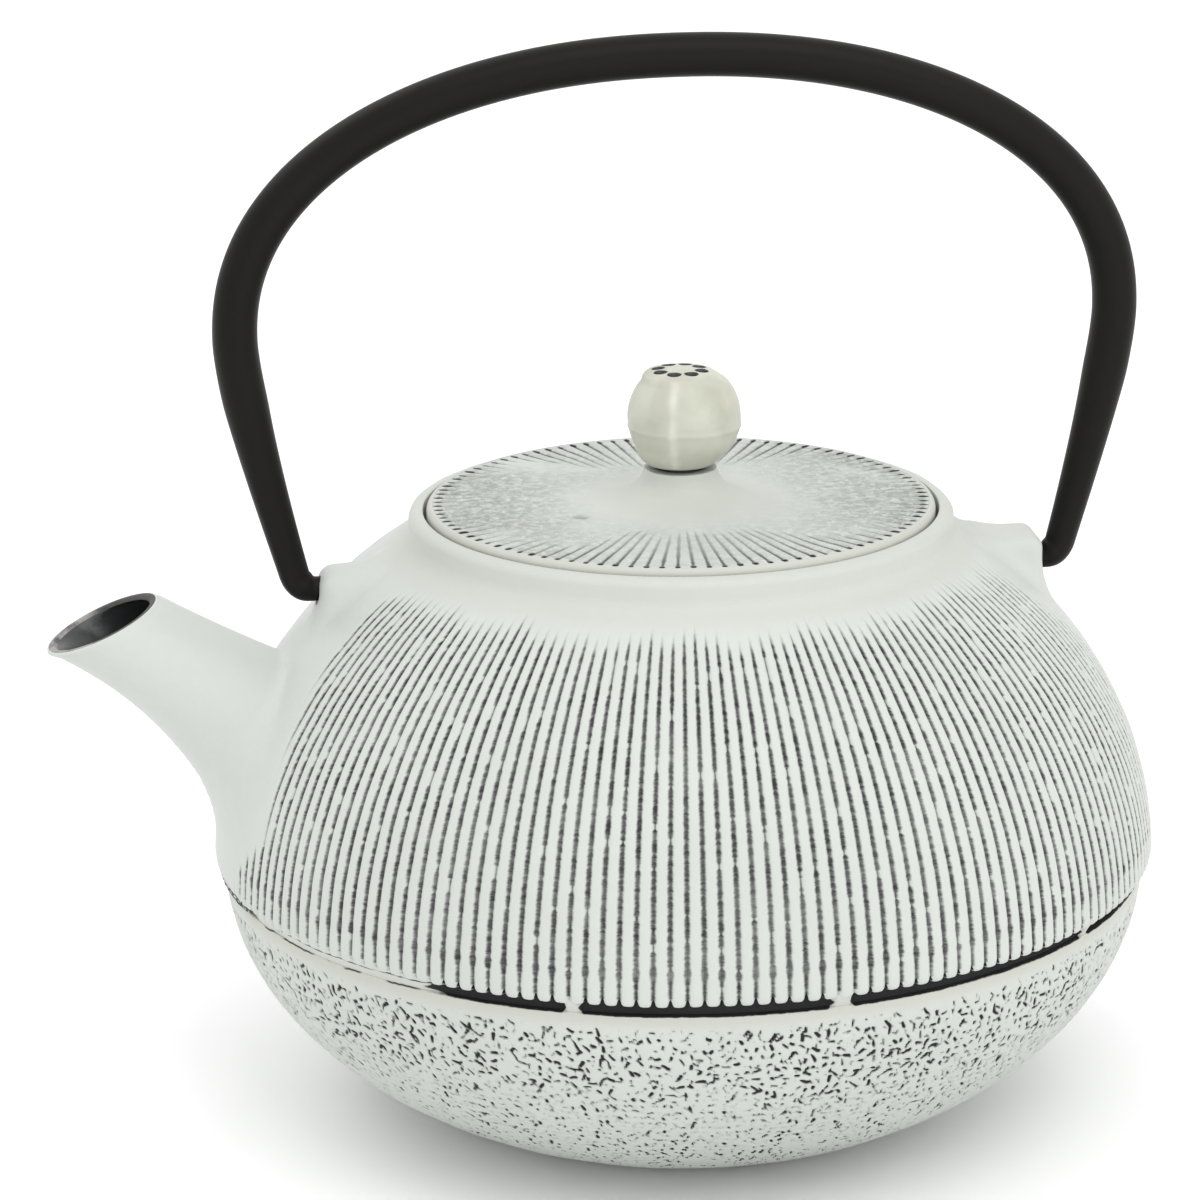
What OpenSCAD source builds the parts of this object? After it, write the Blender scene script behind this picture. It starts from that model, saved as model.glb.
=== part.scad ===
// Cast iron teapot with a hinged bail handle, a drop-in lid and a steel infuser basket.
// Origin: on the pot's axis, in the plane it rests on. +Z is up, the spout points to -X.

/* [Pot] */
// Largest diameter of the pot, at the lower edge of the ribbed half
body_d = 165; // [138:1:200]
// Height of the collar round the lid, above the resting plane
body_h = 107; // [96:1:130]
// Height of the seam between the ribbed half and the bowl
seam_z = 45; // [37:1:54]
// Height of the open seam groove
seam_gap = 2; // [1:0.1:3]
// How far the ribbed half stands out over the bowl
seam_step = 1.7; // [0.8:0.1:3]
// Thickness of the cast wall
wall = 3; // [2.4:0.1:4]
// Diameter of the foot ring
foot_d = 80; // [64:1:98]
// Width of the foot ring
foot_w = 5; // [3:0.5:8]
// Depth of the hollow inside the foot ring
foot_hollow = 1.5; // [0.8:0.1:2.4]

/* [Mouth] */
// Diameter of the round opening under the lid
mouth_d = 79; // [66:1:96]
// Width of the ledge that carries the lid and the infuser
ledge_w = 5.5; // [4.6:0.1:8]
// Depth of the lid recess below the collar
recess_h = 3.8; // [3:0.1:5]
// Radius of the rounded collar
collar_r = 1.7; // [1.3:0.1:3.2]
// Height of the collar over the shoulder
collar_h = 4.8; // [3.6:0.1:7]
// Thickness of the ledge
ledge_t = 4.2; // [3:0.1:6]

/* [Spout] */
// Distance from the pot's widest wall to the middle of the spout's mouth
spout_out = 17.9; // [14:0.1:24]
// Depth of the middle of the spout's mouth below the rim
spout_drop = 16.6; // [10:0.1:26]
// Length of the spout's mouth, across the top
spout_mouth = 20.4; // [17:0.1:25]
// Width of the spout's mouth
spout_mouth_w = 19; // [16:0.1:23]
// Tilt of the spout's mouth
spout_tilt = 26; // [15:1:35]
// Thickness of the spout's lip
spout_lip = 1.8; // [1.4:0.1:2.4]
// Width of the spout where it meets the pot
spout_root_w = 36; // [30:1:46]
// Depth of the top of the spout's root below the rim
spout_root_drop = 25.9; // [20:0.1:32]

/* [Lugs] */
// How far a lug's outer face stands out from the shoulder at the hinge axis
lug_out = 5.1; // [2:0.1:10]
// Depth of the bail's hinge axis below the rim
hinge_drop = 12.2; // [8:0.1:20]
// Width of a lug
lug_w = 12; // [9:0.5:18]
// Height of a lug above the hinge axis
lug_rise = 4.6; // [4.4:0.1:7]
// Rounding of a lug
lug_r = 3; // [2:0.1:4]

/* [Bail] */
// Height of the bail's crown above the hinge axis, to its middle line
bail_h = 90.6; // [80:0.1:112]
// Width of the bail, between the middle lines of its sides
bail_w = 152; // [140:1:180]
// Height of the bail's widest point above the hinge axis
bail_wide_h = 44.7; // [38:0.1:54]
// Diameter of the bail's tube at the sides
bail_d = 7.7; // [7:0.1:10]
// How much thinner the tube is at the crown
bail_crown_thin = 0.2; // [0:0.1:1.2]
// Diameter of the tapered end of the tube, above the bend
bail_end_d = 5.2; // [4.8:0.1:6]
// Diameter of a hinge pin
pin_d = 4.2; // [3.6:0.1:4.6]
// Length of a hinge pin inside its lug
pin_len = 6.4; // [5:0.1:7]
// Radius of the bend above a hinge pin
bend_r = 3.7; // [3:0.1:6]

/* [Lid] */
// Height of the raised boss under the knob, above the lid's top face
boss_h = 5.8; // [4:0.1:9]
// Diameter of the top of the boss
boss_top_d = 12.8; // [12:0.1:15]
// Diameter of the boss where it runs out into the lid
boss_foot_d = 34; // [26:1:44]
// Width of the rounded-off edge round the lid
lid_edge_w = 1.2; // [0.8:0.1:4]
// Rise of the lid's face above the collar
lid_rise = 1; // [0.3:0.1:2]
// Depth of the locating lip under the lid
lip_h = 6; // [4:0.5:9]
// Thickness of the locating lip
lip_t = 2.5; // [2:0.1:4]
// Diameter of the steam vent
vent_d = 2.4; // [1.6:0.1:3]
// Distance of the steam vent from the axis
vent_r = 20.5; // [18.5:0.5:26]
// Angle of the steam vent, from the spout's side
vent_angle = 26; // [0:1:60]

/* [Knob] */
// Largest diameter of the knob
knob_d = 19.8; // [16:0.1:24]
// Height of the knob
knob_h = 16.6; // [14:0.1:20]
// Height of the knob's widest point above its base
knob_wide_h = 8.1; // [6.5:0.1:10]
// Diameter of the knob's base
knob_base_d = 11.4; // [10.4:0.1:12.6]
// Diameter of the knob's flat top
knob_top_d = 10.4; // [9:0.1:13]
// Height of the narrow neck between boss and knob
knob_neck_h = 0.7; // [0.4:0.1:1.2]
// Thickness of the knob's shell
knob_wall = 1.6; // [1.2:0.1:2.2]
// Thickness of the knob's solid base
knob_floor = 4.6; // [4:0.1:6]
// Number of holes round the knob's top
knob_holes = 8; // [6:1:10]
// Diameter of a hole in the knob's top
knob_hole_d = 2; // [1.6:0.1:2.6]
// Distance of the holes from the knob's axis
knob_hole_r = 3.9; // [3.5:0.1:5]

/* [Knob screw] */
// Diameter of the screw
screw_d = 4; // [3:0.5:4.5]
// Diameter of the screw's head
screw_head_d = 8; // [6.5:0.1:9]
// Height of the screw's head
screw_head_h = 2.4; // [1.8:0.1:3]
// Length of screw inside the knob
screw_grip = 3.6; // [2.5:0.1:4]
// Diameter of the washer
washer_d = 10; // [9:0.1:12]
// Thickness of the washer
washer_t = 0.8; // [0.5:0.1:1.2]

/* [Infuser] */
// Depth of the infuser below the ledge
infuser_h = 61; // [48:1:74]
// Thickness of the infuser's sheet and mesh
sheet = 0.6; // [0.4:0.1:0.9]
// Height of the plain collar at the top of the infuser
infuser_collar_h = 12; // [9:0.5:16]
// Overlap of the collar with the mesh
mesh_overlap = 2; // [1:0.1:3]
// Height of the ring round the bottom of the infuser
base_ring_h = 4.6; // [3:0.1:6]
// Width of the shelf that carries the mesh floor
base_shelf_w = 4; // [3:0.1:6]
// Angle that the seam strip covers
strip_angle = 8; // [5:1:12]

/* [Fits] */
// Radial gap round the lid
lid_gap = 0.6; // [0.3:0.1:1]
// Gap under the lid's edge
seat_gap = 0.05; // [0.02:0.01:0.2]
// Radial gap between mouth and infuser, and between infuser and lid
infuser_gap = 0.7; // [0.4:0.1:1]
// Radial gap round a hinge pin
pin_gap = 0.08; // [0.05:0.01:0.1]
// Gap at the end of a hinge pin, and between bend and lug
end_gap = 0.5; // [0.3:0.1:1]
// Radial gap round the screw in the lid
screw_gap = 0.25; // [0.1:0.05:0.5]
// Radial gap of the screw in the knob's thread
thread_gap = 0.03; // [0.02:0.01:0.08]

/* [Hidden] */

$fn = 96;
arc_n = 16;          // steps in a long arc of a profile
bend_n = 6;          // steps in a small arc
ring_n = 24;         // sides of a spout ring
tube_n = 18;         // sides of a bail ring
bore_n = 10;         // rings along the spout
over = 1;            // how far a cut runs past the face it opens

body_r = body_d/2;
bowl_r = body_r - seam_step;
foot_r = foot_d/2;
mouth_r = mouth_d/2;
recess_r = mouth_r + ledge_w;
ledge_z = body_h - recess_h;
hinge_z = body_h - hinge_drop;

// Shoulder and bowl are quarter ellipses about the seam
collar_mid = recess_r + collar_r*0.56;
collar_foot_r = collar_mid + collar_r;
collar_foot_z = body_h - collar_h;
dome_h = (collar_foot_z - seam_z)/sqrt(1 - pow(collar_foot_r/body_r, 2));
bowl_h = seam_z/sqrt(1 - pow(foot_r/bowl_r, 2));
inner_r = bowl_r - wall;
floor_t = wall + foot_hollow;
dome_in_h = dome_h - wall;
bowl_in_h = bowl_h - wall;

function dome_radius(z) = body_r*sqrt(1 - pow((z - seam_z)/dome_h, 2));
function ellipse_arc(a, b, mid, from, to, n) =
    [for (i = [0:n]) let (t = from + (to - from)*i/n) [mid[0] + a*cos(t), mid[1] + b*sin(t)]];
function reversed(p) = [for (i = [len(p) - 1:-1:0]) p[i]];
function mix(a, b, t) = a + (b - a)*t;
function bezier(a, b, c, t) = mix(mix(a, b, t), mix(b, c, t), t);

// Lid and knob, from the ledge upward
lid_r = recess_r - lid_gap;
lid_bottom = ledge_z + seat_gap;
lid_edge_z = body_h - 0.4;
lid_face = body_h + lid_rise;
boss_top = lid_face + boss_h;
knob_z = boss_top + knob_neck_h;
knob_top = knob_z + knob_h;

// Infuser, hung in a step of the ledge
step_h = sheet + 0.4;
step_w = ledge_w - 3;
flange_z = ledge_z - step_h;
flange_r = mouth_r + step_w - 0.5;
collar_out = mouth_r - infuser_gap;
mesh_out = collar_out - sheet;
infuser_z = flange_z - infuser_h;
collar_z = flange_z + sheet - infuser_collar_h;
mesh_top = collar_z + mesh_overlap;
lip_r = mesh_out - infuser_gap;

// Screw, from the lid's underside up into the knob
washer_z = lid_bottom - washer_t;
head_z = washer_z - screw_head_h;
screw_end = knob_z + screw_grip;

// Spout: upper and lower edge in the plane of symmetry
spout_z = body_h - spout_drop;
mouth_mid = [-(body_r + spout_out), spout_z];
tilt_dir = [cos(spout_tilt), sin(spout_tilt)];
root_top_z = body_h - spout_root_drop;
root_top = [-(dome_radius(root_top_z) - wall - 2.6), root_top_z];
root_low = [-(inner_r + 0.2), seam_z + 0.6];
low_ctrl = [-(body_r + 4.2), spout_z - 17.1];

function spout_top(t, inset) =
    let (lip = mouth_mid + tilt_dir*(spout_mouth/2 - inset))
    bezier(lip, mix(lip, root_top, 0.5) - [0, inset], root_top - [0, inset*1.6], t);
function spout_low(t, inset) =
    let (lip = mouth_mid - tilt_dir*(spout_mouth/2 - inset))
    bezier(lip, low_ctrl + [inset, inset], root_low + [inset, inset*2], t);
function spout_half(t, inset) = mix(spout_mouth_w, spout_root_w, pow(t, 1.4))/2 - inset;
function spout_ring(t, inset) =
    let (a = spout_top(t, inset), b = spout_low(t, inset), mid = (a + b)/2, arm = (b - a)/2)
    [for (i = [0:ring_n - 1]) let (w = 360*i/ring_n, p = mid + arm*cos(w))
        [p[0], spout_half(t, inset)*sin(w), p[1]]];

// Bail: middle line of one side, from the pin to the crown
lug_face = dome_radius(hinge_z) + lug_out;
bail_side = bail_w/2;
bend_end = [lug_face + end_gap, hinge_z];
side_lean = 15;      // lean of the straight side, from upright
bend_start = bend_end + bend_r*[cos(side_lean), 1 - sin(side_lean)];
wide = [bail_side, hinge_z + bail_wide_h];
side_ctrl = [bail_side, bend_start[1] + (bail_side - bend_start[0])/tan(side_lean)];
crown_h = bail_h - bail_wide_h;
crown_power = 0.93;  // a little squarer than an ellipse

function bend_point(i, n) = let (w = mix(90, side_lean, i/n))
    bend_end + bend_r*[cos(w), 1 - sin(w)];
function arch_point(w) = [bail_side*pow(cos(w), crown_power), wide[1] + crown_h*pow(sin(w), crown_power)];
bail_half = concat(
    [for (i = [0:bend_n]) bend_point(i, bend_n)],
    [for (i = [1:arc_n - 6]) bezier(bend_start, side_ctrl, wide, i/(arc_n - 6))],
    [for (i = [1:arc_n]) arch_point(90*i/arc_n)]);
bail_half_d = concat(
    [for (i = [0:bend_n]) mix(pin_d + 0.5, bail_end_d, i/bend_n)],
    [for (i = [1:arc_n - 6]) mix(bail_end_d, bail_d, min(1, 1.7*i/(arc_n - 6)))],
    [for (i = [1:arc_n]) bail_d - bail_crown_thin*pow(sin(90*i/arc_n), 2)]);
half_n = len(bail_half);
bail_line = concat(bail_half,
    [for (i = [half_n - 2:-1:0]) [-bail_half[i][0], bail_half[i][1]]]);
bail_line_d = concat(bail_half_d, [for (i = [half_n - 2:-1:0]) bail_half_d[i]]);

function unit(v) = v/norm(v);
// Both ends of the middle line run along +X, where the pins take over
function line_dir(p, i) = i == 0 || i == len(p) - 1 ? [1, 0] : unit(p[i + 1] - p[i - 1]);
function line_ring(p, i, d) = let (t = line_dir(p, i), across = [-t[1], t[0]])
    [for (k = [0:tube_n - 1]) let (w = 360*k/tube_n, q = p[i] + across*cos(w)*d/2)
        [q[0], -sin(w)*d/2, q[1]]];

// A closed skin over a stack of rings with the same number of points
module skin(rings) {
    n = len(rings[0]);
    m = len(rings);
    points = [for (r = rings) each r];
    sides = [for (j = [0:m - 2], i = [0:n - 1])
        [j*n + i, (j + 1)*n + i, (j + 1)*n + (i + 1)%n, j*n + (i + 1)%n]];
    polyhedron(points, concat(sides, [[for (i = [0:n - 1]) i]], [[for (i = [n - 1:-1:0]) (m - 1)*n + i]]), 4);
}

module pot_outside() {
    collar_arc = ellipse_arc(collar_r, collar_r, [collar_mid, body_h - collar_r], 0, 90, bend_n);
    dome_end = asin((collar_foot_z - seam_z)/dome_h);
    dome_start = asin(seam_gap/2/dome_h);
    bowl_end = asin(seam_z/bowl_h);
    bowl_start = asin(seam_gap/2/bowl_h);
    groove_r = bowl_r - 0.8;
    rotate_extrude() polygon(concat(
        [[0, foot_hollow], [foot_r - foot_w - 1, foot_hollow], [foot_r - foot_w, 0]],
        reversed(ellipse_arc(bowl_r, bowl_h, [0, seam_z], -bowl_start, -bowl_end, arc_n)),
        [[groove_r, seam_z - seam_gap/2], [groove_r, seam_z + seam_gap/2]],
        ellipse_arc(body_r, dome_h, [0, seam_z], dome_start, dome_end, arc_n),
        collar_arc,
        [[recess_r + 0.5, body_h], [recess_r, body_h - 0.5], [recess_r, ledge_z], [0, ledge_z]]));
}

module pot_cavity() {
    neck_z = ledge_z - ledge_t;
    neck_end = asin((neck_z - seam_z)/dome_in_h);
    floor_end = asin((seam_z - floor_t)/bowl_in_h);
    rotate_extrude() polygon(concat(
        [[0, floor_t]],
        ellipse_arc(inner_r, bowl_in_h, [0, seam_z], -floor_end, 0, arc_n),
        ellipse_arc(inner_r, dome_in_h, [0, seam_z], 90/arc_n/2, neck_end, arc_n),
        [[mouth_r, neck_z], [mouth_r, flange_z], [mouth_r + step_w, flange_z],
         [mouth_r + step_w, ledge_z + over], [0, ledge_z + over]]));
}

module spout_outside() {
    skin([for (j = [0:bore_n]) spout_ring(j/bore_n, 0)]);
}

// The bore starts a little outside the lip and runs into the cavity
module spout_bore() {
    normal = [-sin(spout_tilt), 0, cos(spout_tilt)];
    first = spout_ring(0, spout_lip);
    skin(concat([[for (p = first) p + normal*over]],
        [for (j = [0:bore_n]) spout_ring(j/bore_n, spout_lip + j/bore_n)],
        [[for (p = spout_ring(1, spout_lip + 1)) p + [wall*2, 0, -wall/2]]]));
}

module lug() {
    top = hinge_z + lug_rise;
    low = hinge_z - lug_rise*2;
    root = lug_face - 14;
    corner = [lug_face - lug_r, top - lug_r];
    side = lug_w/2 - lug_r;
    intersection() {
        rotate([90, 0, 0]) linear_extrude(lug_w + 2*over, center = true)
            polygon(concat([[root, low], [lug_face, low]],
                ellipse_arc(lug_r, lug_r, corner, 0, 90, bend_n), [[root, top]]));
        translate([0, 0, low - over]) linear_extrude(top - low + 2*over)
            polygon(concat([[root, -lug_w/2]],
                ellipse_arc(lug_r, lug_r, [corner[0], -side], -90, 0, bend_n),
                ellipse_arc(lug_r, lug_r, [corner[0], side], 0, 90, bend_n),
                [[root, lug_w/2]]));
    }
}

module both_sides() {
    children();
    mirror([1, 0, 0]) children();
}

module pot_body() {
    hole = pin_len + end_gap;
    color("gainsboro") difference() {
        union() {
            pot_outside();
            spout_outside();
            both_sides() lug();
        }
        pot_cavity();
        spout_bore();
        both_sides() translate([lug_face - hole, 0, hinge_z]) rotate([0, 90, 0])
            cylinder(d = pin_d + 2*pin_gap, h = hole + over);
    }
}

module lid() {
    underside = lid_bottom;
    lip_z = lid_bottom - lip_h;
    boss_arc = [for (i = [0:bend_n + 2]) let (w = 90*i/(bend_n + 2))
        [mix(boss_foot_d, boss_top_d, sin(w))/2, boss_top - boss_h*cos(w)]];
    color("gainsboro") difference() {
        rotate_extrude() polygon(concat(
            [[0, underside], [lip_r - lip_t, underside], [lip_r - lip_t, lip_z], [lip_r, lip_z],
             [lip_r, lid_bottom], [lid_r, lid_bottom]],
            ellipse_arc(lid_edge_w, lid_face - lid_edge_z, [lid_r - lid_edge_w, lid_edge_z], 0, 90, bend_n),
            boss_arc, [[0, boss_top]]));
        translate([0, 0, underside - over])
            cylinder(d = screw_d + 2*screw_gap, h = boss_top - underside + 2*over);
        rotate([0, 0, 180 + vent_angle]) translate([vent_r, 0, underside - over])
            cylinder(d = vent_d, h = lid_face - underside + 2*over);
    }
}

module lid_knob() {
    base_r = knob_base_d/2;
    top_r = knob_top_d/2;
    r = knob_d/2;
    upper_h = knob_h - knob_wide_h;
    wide_z = knob_z + knob_wide_h;
    low_semi = knob_wide_h/sqrt(1 - pow(base_r/r, 2));
    top_semi = upper_h/sqrt(1 - pow(top_r/r, 2));
    low_end = asin(knob_wide_h/low_semi);
    top_end = asin(upper_h/top_semi);
    r_in = r - knob_wall;
    floor_z = knob_z + knob_floor;
    low_in = low_semi - knob_wall;
    top_in = top_semi - knob_wall;
    neck_r = base_r - 1.2;
    color("ivory") difference() {
        rotate_extrude() polygon(concat(
            [[0, boss_top], [neck_r, boss_top], [neck_r, knob_z]],
            ellipse_arc(r, low_semi, [0, wide_z], -low_end, 0, arc_n/2),
            ellipse_arc(r, top_semi, [0, wide_z], top_end/8, top_end, arc_n/2),
            [[0, knob_top]]));
        rotate_extrude() polygon(concat(
            [[0, floor_z]],
            ellipse_arc(r_in, low_in, [0, wide_z], -asin((wide_z - floor_z)/low_in), 0, arc_n/2),
            ellipse_arc(r_in, top_in, [0, wide_z], 5, asin((upper_h - knob_wall)/top_in), arc_n/2),
            [[0, knob_top - knob_wall]]));
        for (i = [0:knob_holes - 1]) rotate([0, 0, 360*(i + 0.5)/knob_holes])
            translate([knob_hole_r, 0, knob_top - knob_wall - over])
                cylinder(d = knob_hole_d, h = knob_wall + 2*over, $fn = 24);
        translate([0, 0, boss_top - over])
            cylinder(d = screw_d + 2*thread_gap, h = screw_end - boss_top + over + end_gap);
    }
}

module knob_screw() {
    color("silver") rotate_extrude() polygon([
        [0, head_z], [screw_head_d/2 - 0.6, head_z], [screw_head_d/2, head_z + 0.6],
        [screw_head_d/2, washer_z], [screw_d/2, washer_z], [screw_d/2, screw_end - 0.5],
        [screw_d/2 - 0.5, screw_end], [0, screw_end]]);
}

module knob_washer() {
    color("silver") translate([0, 0, washer_z]) difference() {
        cylinder(d = washer_d, h = washer_t);
        translate([0, 0, -over]) cylinder(d = screw_d + 2*screw_gap, h = washer_t + 2*over);
    }
}

module bail_handle() {
    color("#1c1c1c") {
        skin([for (i = [0:len(bail_line) - 1]) line_ring(bail_line, i, bail_line_d[i])]);
        both_sides() translate([lug_face - pin_len, 0, hinge_z]) rotate([0, 90, 0])
            cylinder(d = pin_d, h = pin_len + end_gap + 0.6);
    }
}

module infuser_collar() {
    color("silver") rotate_extrude() polygon([
        [mesh_out, collar_z], [collar_out, collar_z], [collar_out, flange_z],
        [flange_r, flange_z], [flange_r, flange_z + sheet], [mesh_out, flange_z + sheet]]);
}

module tube(outer, inner, from, to) {
    translate([0, 0, from]) difference() {
        cylinder(r = outer, h = to - from);
        translate([0, 0, -over]) cylinder(r = inner, h = to - from + 2*over);
    }
}

module infuser_mesh() {
    color("lightgray") tube(mesh_out, mesh_out - sheet, infuser_z + sheet, mesh_top);
}

module infuser_mesh_floor() {
    color("lightgray") translate([0, 0, infuser_z + sheet]) cylinder(r = mesh_out - sheet, h = sheet);
}

module infuser_base_ring() {
    color("silver") rotate_extrude() polygon([
        [mesh_out - base_shelf_w, infuser_z], [collar_out, infuser_z],
        [collar_out, infuser_z + base_ring_h], [mesh_out, infuser_z + base_ring_h],
        [mesh_out, infuser_z + sheet], [mesh_out - base_shelf_w, infuser_z + sheet]]);
}

module infuser_seam_strip() {
    low = infuser_z + base_ring_h + end_gap;
    color("silver") translate([0, 0, low]) rotate([0, 0, 90 - strip_angle/2])
        rotate_extrude(angle = strip_angle) translate([mesh_out, 0])
            square([sheet*0.8, collar_z - end_gap - low]);
}

pot_body();
lid();
lid_knob();
knob_screw();
knob_washer();
bail_handle();
infuser_collar();
infuser_mesh();
infuser_mesh_floor();
infuser_base_ring();
infuser_seam_strip();
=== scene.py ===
import math

import bpy
import numpy as np
from mathutils import Matrix, Quaternion, Vector


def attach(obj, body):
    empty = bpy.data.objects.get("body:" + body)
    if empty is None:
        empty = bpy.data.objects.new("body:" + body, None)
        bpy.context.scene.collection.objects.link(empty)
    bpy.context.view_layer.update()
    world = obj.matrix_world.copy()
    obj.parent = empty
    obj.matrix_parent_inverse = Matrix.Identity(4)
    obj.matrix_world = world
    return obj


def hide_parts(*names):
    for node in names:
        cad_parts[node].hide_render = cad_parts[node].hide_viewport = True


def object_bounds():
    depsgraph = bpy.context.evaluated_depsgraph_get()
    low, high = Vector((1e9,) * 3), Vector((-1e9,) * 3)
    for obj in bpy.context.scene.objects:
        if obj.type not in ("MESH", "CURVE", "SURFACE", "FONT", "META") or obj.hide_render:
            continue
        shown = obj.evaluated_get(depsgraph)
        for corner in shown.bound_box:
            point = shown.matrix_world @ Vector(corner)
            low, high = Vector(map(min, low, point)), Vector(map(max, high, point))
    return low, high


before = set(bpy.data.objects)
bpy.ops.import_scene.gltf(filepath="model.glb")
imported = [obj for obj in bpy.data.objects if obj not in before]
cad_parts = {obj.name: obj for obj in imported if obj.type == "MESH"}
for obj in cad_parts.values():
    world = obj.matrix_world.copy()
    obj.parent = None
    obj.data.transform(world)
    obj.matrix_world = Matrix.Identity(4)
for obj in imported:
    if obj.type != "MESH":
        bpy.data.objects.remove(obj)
cad_low, cad_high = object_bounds()

MM = 0.001
TAU = 2*math.pi

# ---- sizes, millimetres, as in the CAD
BODY_R = 82.5            # belly of the ribbed shoulder
BOWL_R = 80.8
SEAM_Z = 45.0
SEAM_HALF = 1.0
BODY_H = 107.0
DOME_H = 70.07
BOWL_H = 51.8
FOOT_R = 40.0
FOOT_HOLLOW = 1.5
RECESS_R = 44.65
LEDGE_Z = 103.2
COLLAR_MID = 45.55
COLLAR_R = 1.7
WALL = 3.0
MOUTH_R = 39.5
STEP_R = 42.0
FLANGE_Z = 102.2
LEDGE_T = 4.2
RIBS = 188
RIB_COLS = 8             # mesh columns in one rib
COLS = RIBS*RIB_COLS
HINGE_Z = 94.8
LUG_FACE = 63.14
LUG_W = 12.0
LUG_TOP = 99.4
PIN_R = 2.1


# ---- small numeric helpers
def smooth(low, high, x):
    t = np.clip((x - low)/(high - low), 0, 1)
    return t*t*(3 - 2*t)


def mix(a, b, t):
    return a + (b - a)*t


def bezier(a, b, c, t):
    return mix(mix(a, b, t), mix(b, c, t), t)


def turned(angle):
    """An angle or array of angles brought into -pi to pi."""
    return (angle + math.pi) % TAU - math.pi


class Wander:
    """A seeded smooth random field over any number of coordinates, about -1 to 1."""

    def __init__(self, seed, size, dims=2, waves=24):
        rng = np.random.default_rng(seed)
        self.k = rng.normal(0, TAU/size/2.2, (waves, dims))
        self.p = rng.uniform(0, TAU, waves)
        self.n = math.sqrt(waves/2)*1.6

    def __call__(self, *coords):
        total = 0
        for k, p in zip(self.k, self.p):
            total = total + np.sin(sum(k[i]*c for i, c in enumerate(coords)) + p)
        return np.clip(total/self.n, -1, 1)


# ---- mesh helpers
def make_mesh(name, points, quads, fans=(), materials=(), quad_material=None, fan_material=0):
    """A mesh object from points in millimetres, an array of quads and some larger or smaller faces."""
    quads = np.asarray(quads, np.int64).reshape(-1, 4)
    fans = [list(map(int, f)) for f in fans]
    points = np.asarray(points, float)
    a, b, c, d = (points[quads[:, i]] for i in range(4))
    volume = np.einsum("ij,ij->i", a, np.cross(b, c) + np.cross(c, d)).sum()
    for f in fans:
        for i in range(1, len(f) - 1):
            volume += points[f[0]] @ np.cross(points[f[i]], points[f[i + 1]])
    if volume < 0:
        quads = quads[:, ::-1]
        fans = [f[::-1] for f in fans]
    mesh = bpy.data.meshes.new(name)
    sizes = np.concatenate([np.full(len(quads), 4), [len(f) for f in fans]]).astype(np.int32)
    corners = np.concatenate([quads.ravel()] + [np.array(f) for f in fans]).astype(np.int32)
    mesh.vertices.add(len(points))
    mesh.vertices.foreach_set("co", (points*MM).ravel().astype(np.float32))
    mesh.loops.add(len(corners))
    mesh.loops.foreach_set("vertex_index", corners)
    mesh.polygons.add(len(sizes))
    starts = np.concatenate([[0], np.cumsum(sizes)[:-1]]).astype(np.int32)
    mesh.polygons.foreach_set("loop_start", starts)
    for m in materials:
        mesh.materials.append(m)
    slots = np.full(len(sizes), fan_material, np.int32)
    slots[:len(quads)] = 0 if quad_material is None else quad_material
    mesh.polygons.foreach_set("material_index", slots)
    mesh.update(calc_edges=True)
    mesh.validate()
    obj = bpy.data.objects.new(name, mesh)
    bpy.context.scene.collection.objects.link(obj)
    return obj


def grid(rows, cols, closed=False):
    """Quads between neighbouring rings of points. A closed grid also joins the last ring to the first."""
    j, i = np.arange(rows if closed else rows - 1)[:, None], np.arange(cols)[None, :]
    nxt, side = (j + 1) % rows, (i + 1) % cols
    return np.stack([j*cols + i, nxt*cols + i, nxt*cols + side, j*cols + side], -1).reshape(-1, 4)


def pole_solid(name, rings, poles, materials=(), slots=None, pole_slot=0):
    """A skin over rings, closed by a fan to a point at each end."""
    m, n = rings.shape[:2]
    ends = [[m*n, k, (k + 1) % n] for k in range(n)]
    ends += [[m*n + 1, (m - 1)*n + (k + 1) % n, (m - 1)*n + k] for k in range(n)]
    points = np.concatenate([rings.reshape(-1, 3), poles])
    return make_mesh(name, points, grid(m, n), ends, materials, slots, pole_slot)


def loft(name, rings, materials=(), row_material=None, caps=(0, 0), closed=False):
    """A skin over rings of the same number of points. Open ends get flat caps, with the materials in caps."""
    m, n = rings.shape[:2]
    quads = grid(m, n, closed)
    slots = None
    if row_material is not None:
        slots = np.repeat(np.asarray(row_material)[:len(quads)//n], n)
    fans = [] if closed else [list(range(n)), list(range(m*n - 1, (m - 1)*n - 1, -1))]
    obj = make_mesh(name, rings.reshape(-1, 3), quads, fans, materials, slots)
    if not closed:
        k = len(quads)
        obj.data.polygons[k].material_index = caps[0]
        obj.data.polygons[k + 1].material_index = caps[1]
    return obj


def ring_angles(count):
    return np.arange(count)*TAU/count


def ring_points(r, z, angles):
    """Rings about the Z axis: r and z are one value a row, or one a row and column."""
    r, z = np.asarray(r, float), np.asarray(z, float)
    if r.ndim == 1:
        r = r[:, None] + 0*angles[None, :]
    if z.ndim == 1:
        z = z[:, None] + 0*angles[None, :]
    return np.stack([r*np.cos(angles), r*np.sin(angles), z], -1)


def resample(points, step):
    """Points along a polyline of (r, z), about a step apart."""
    p = np.asarray(points, float)
    length = np.concatenate([[0], np.cumsum(np.hypot(*np.diff(p, axis=0).T))])
    n = max(1, round(length[-1]/step))
    s = np.linspace(0, length[-1], n + 1)
    return np.stack([np.interp(s, length, p[:, 0]), np.interp(s, length, p[:, 1])], -1)


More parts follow.
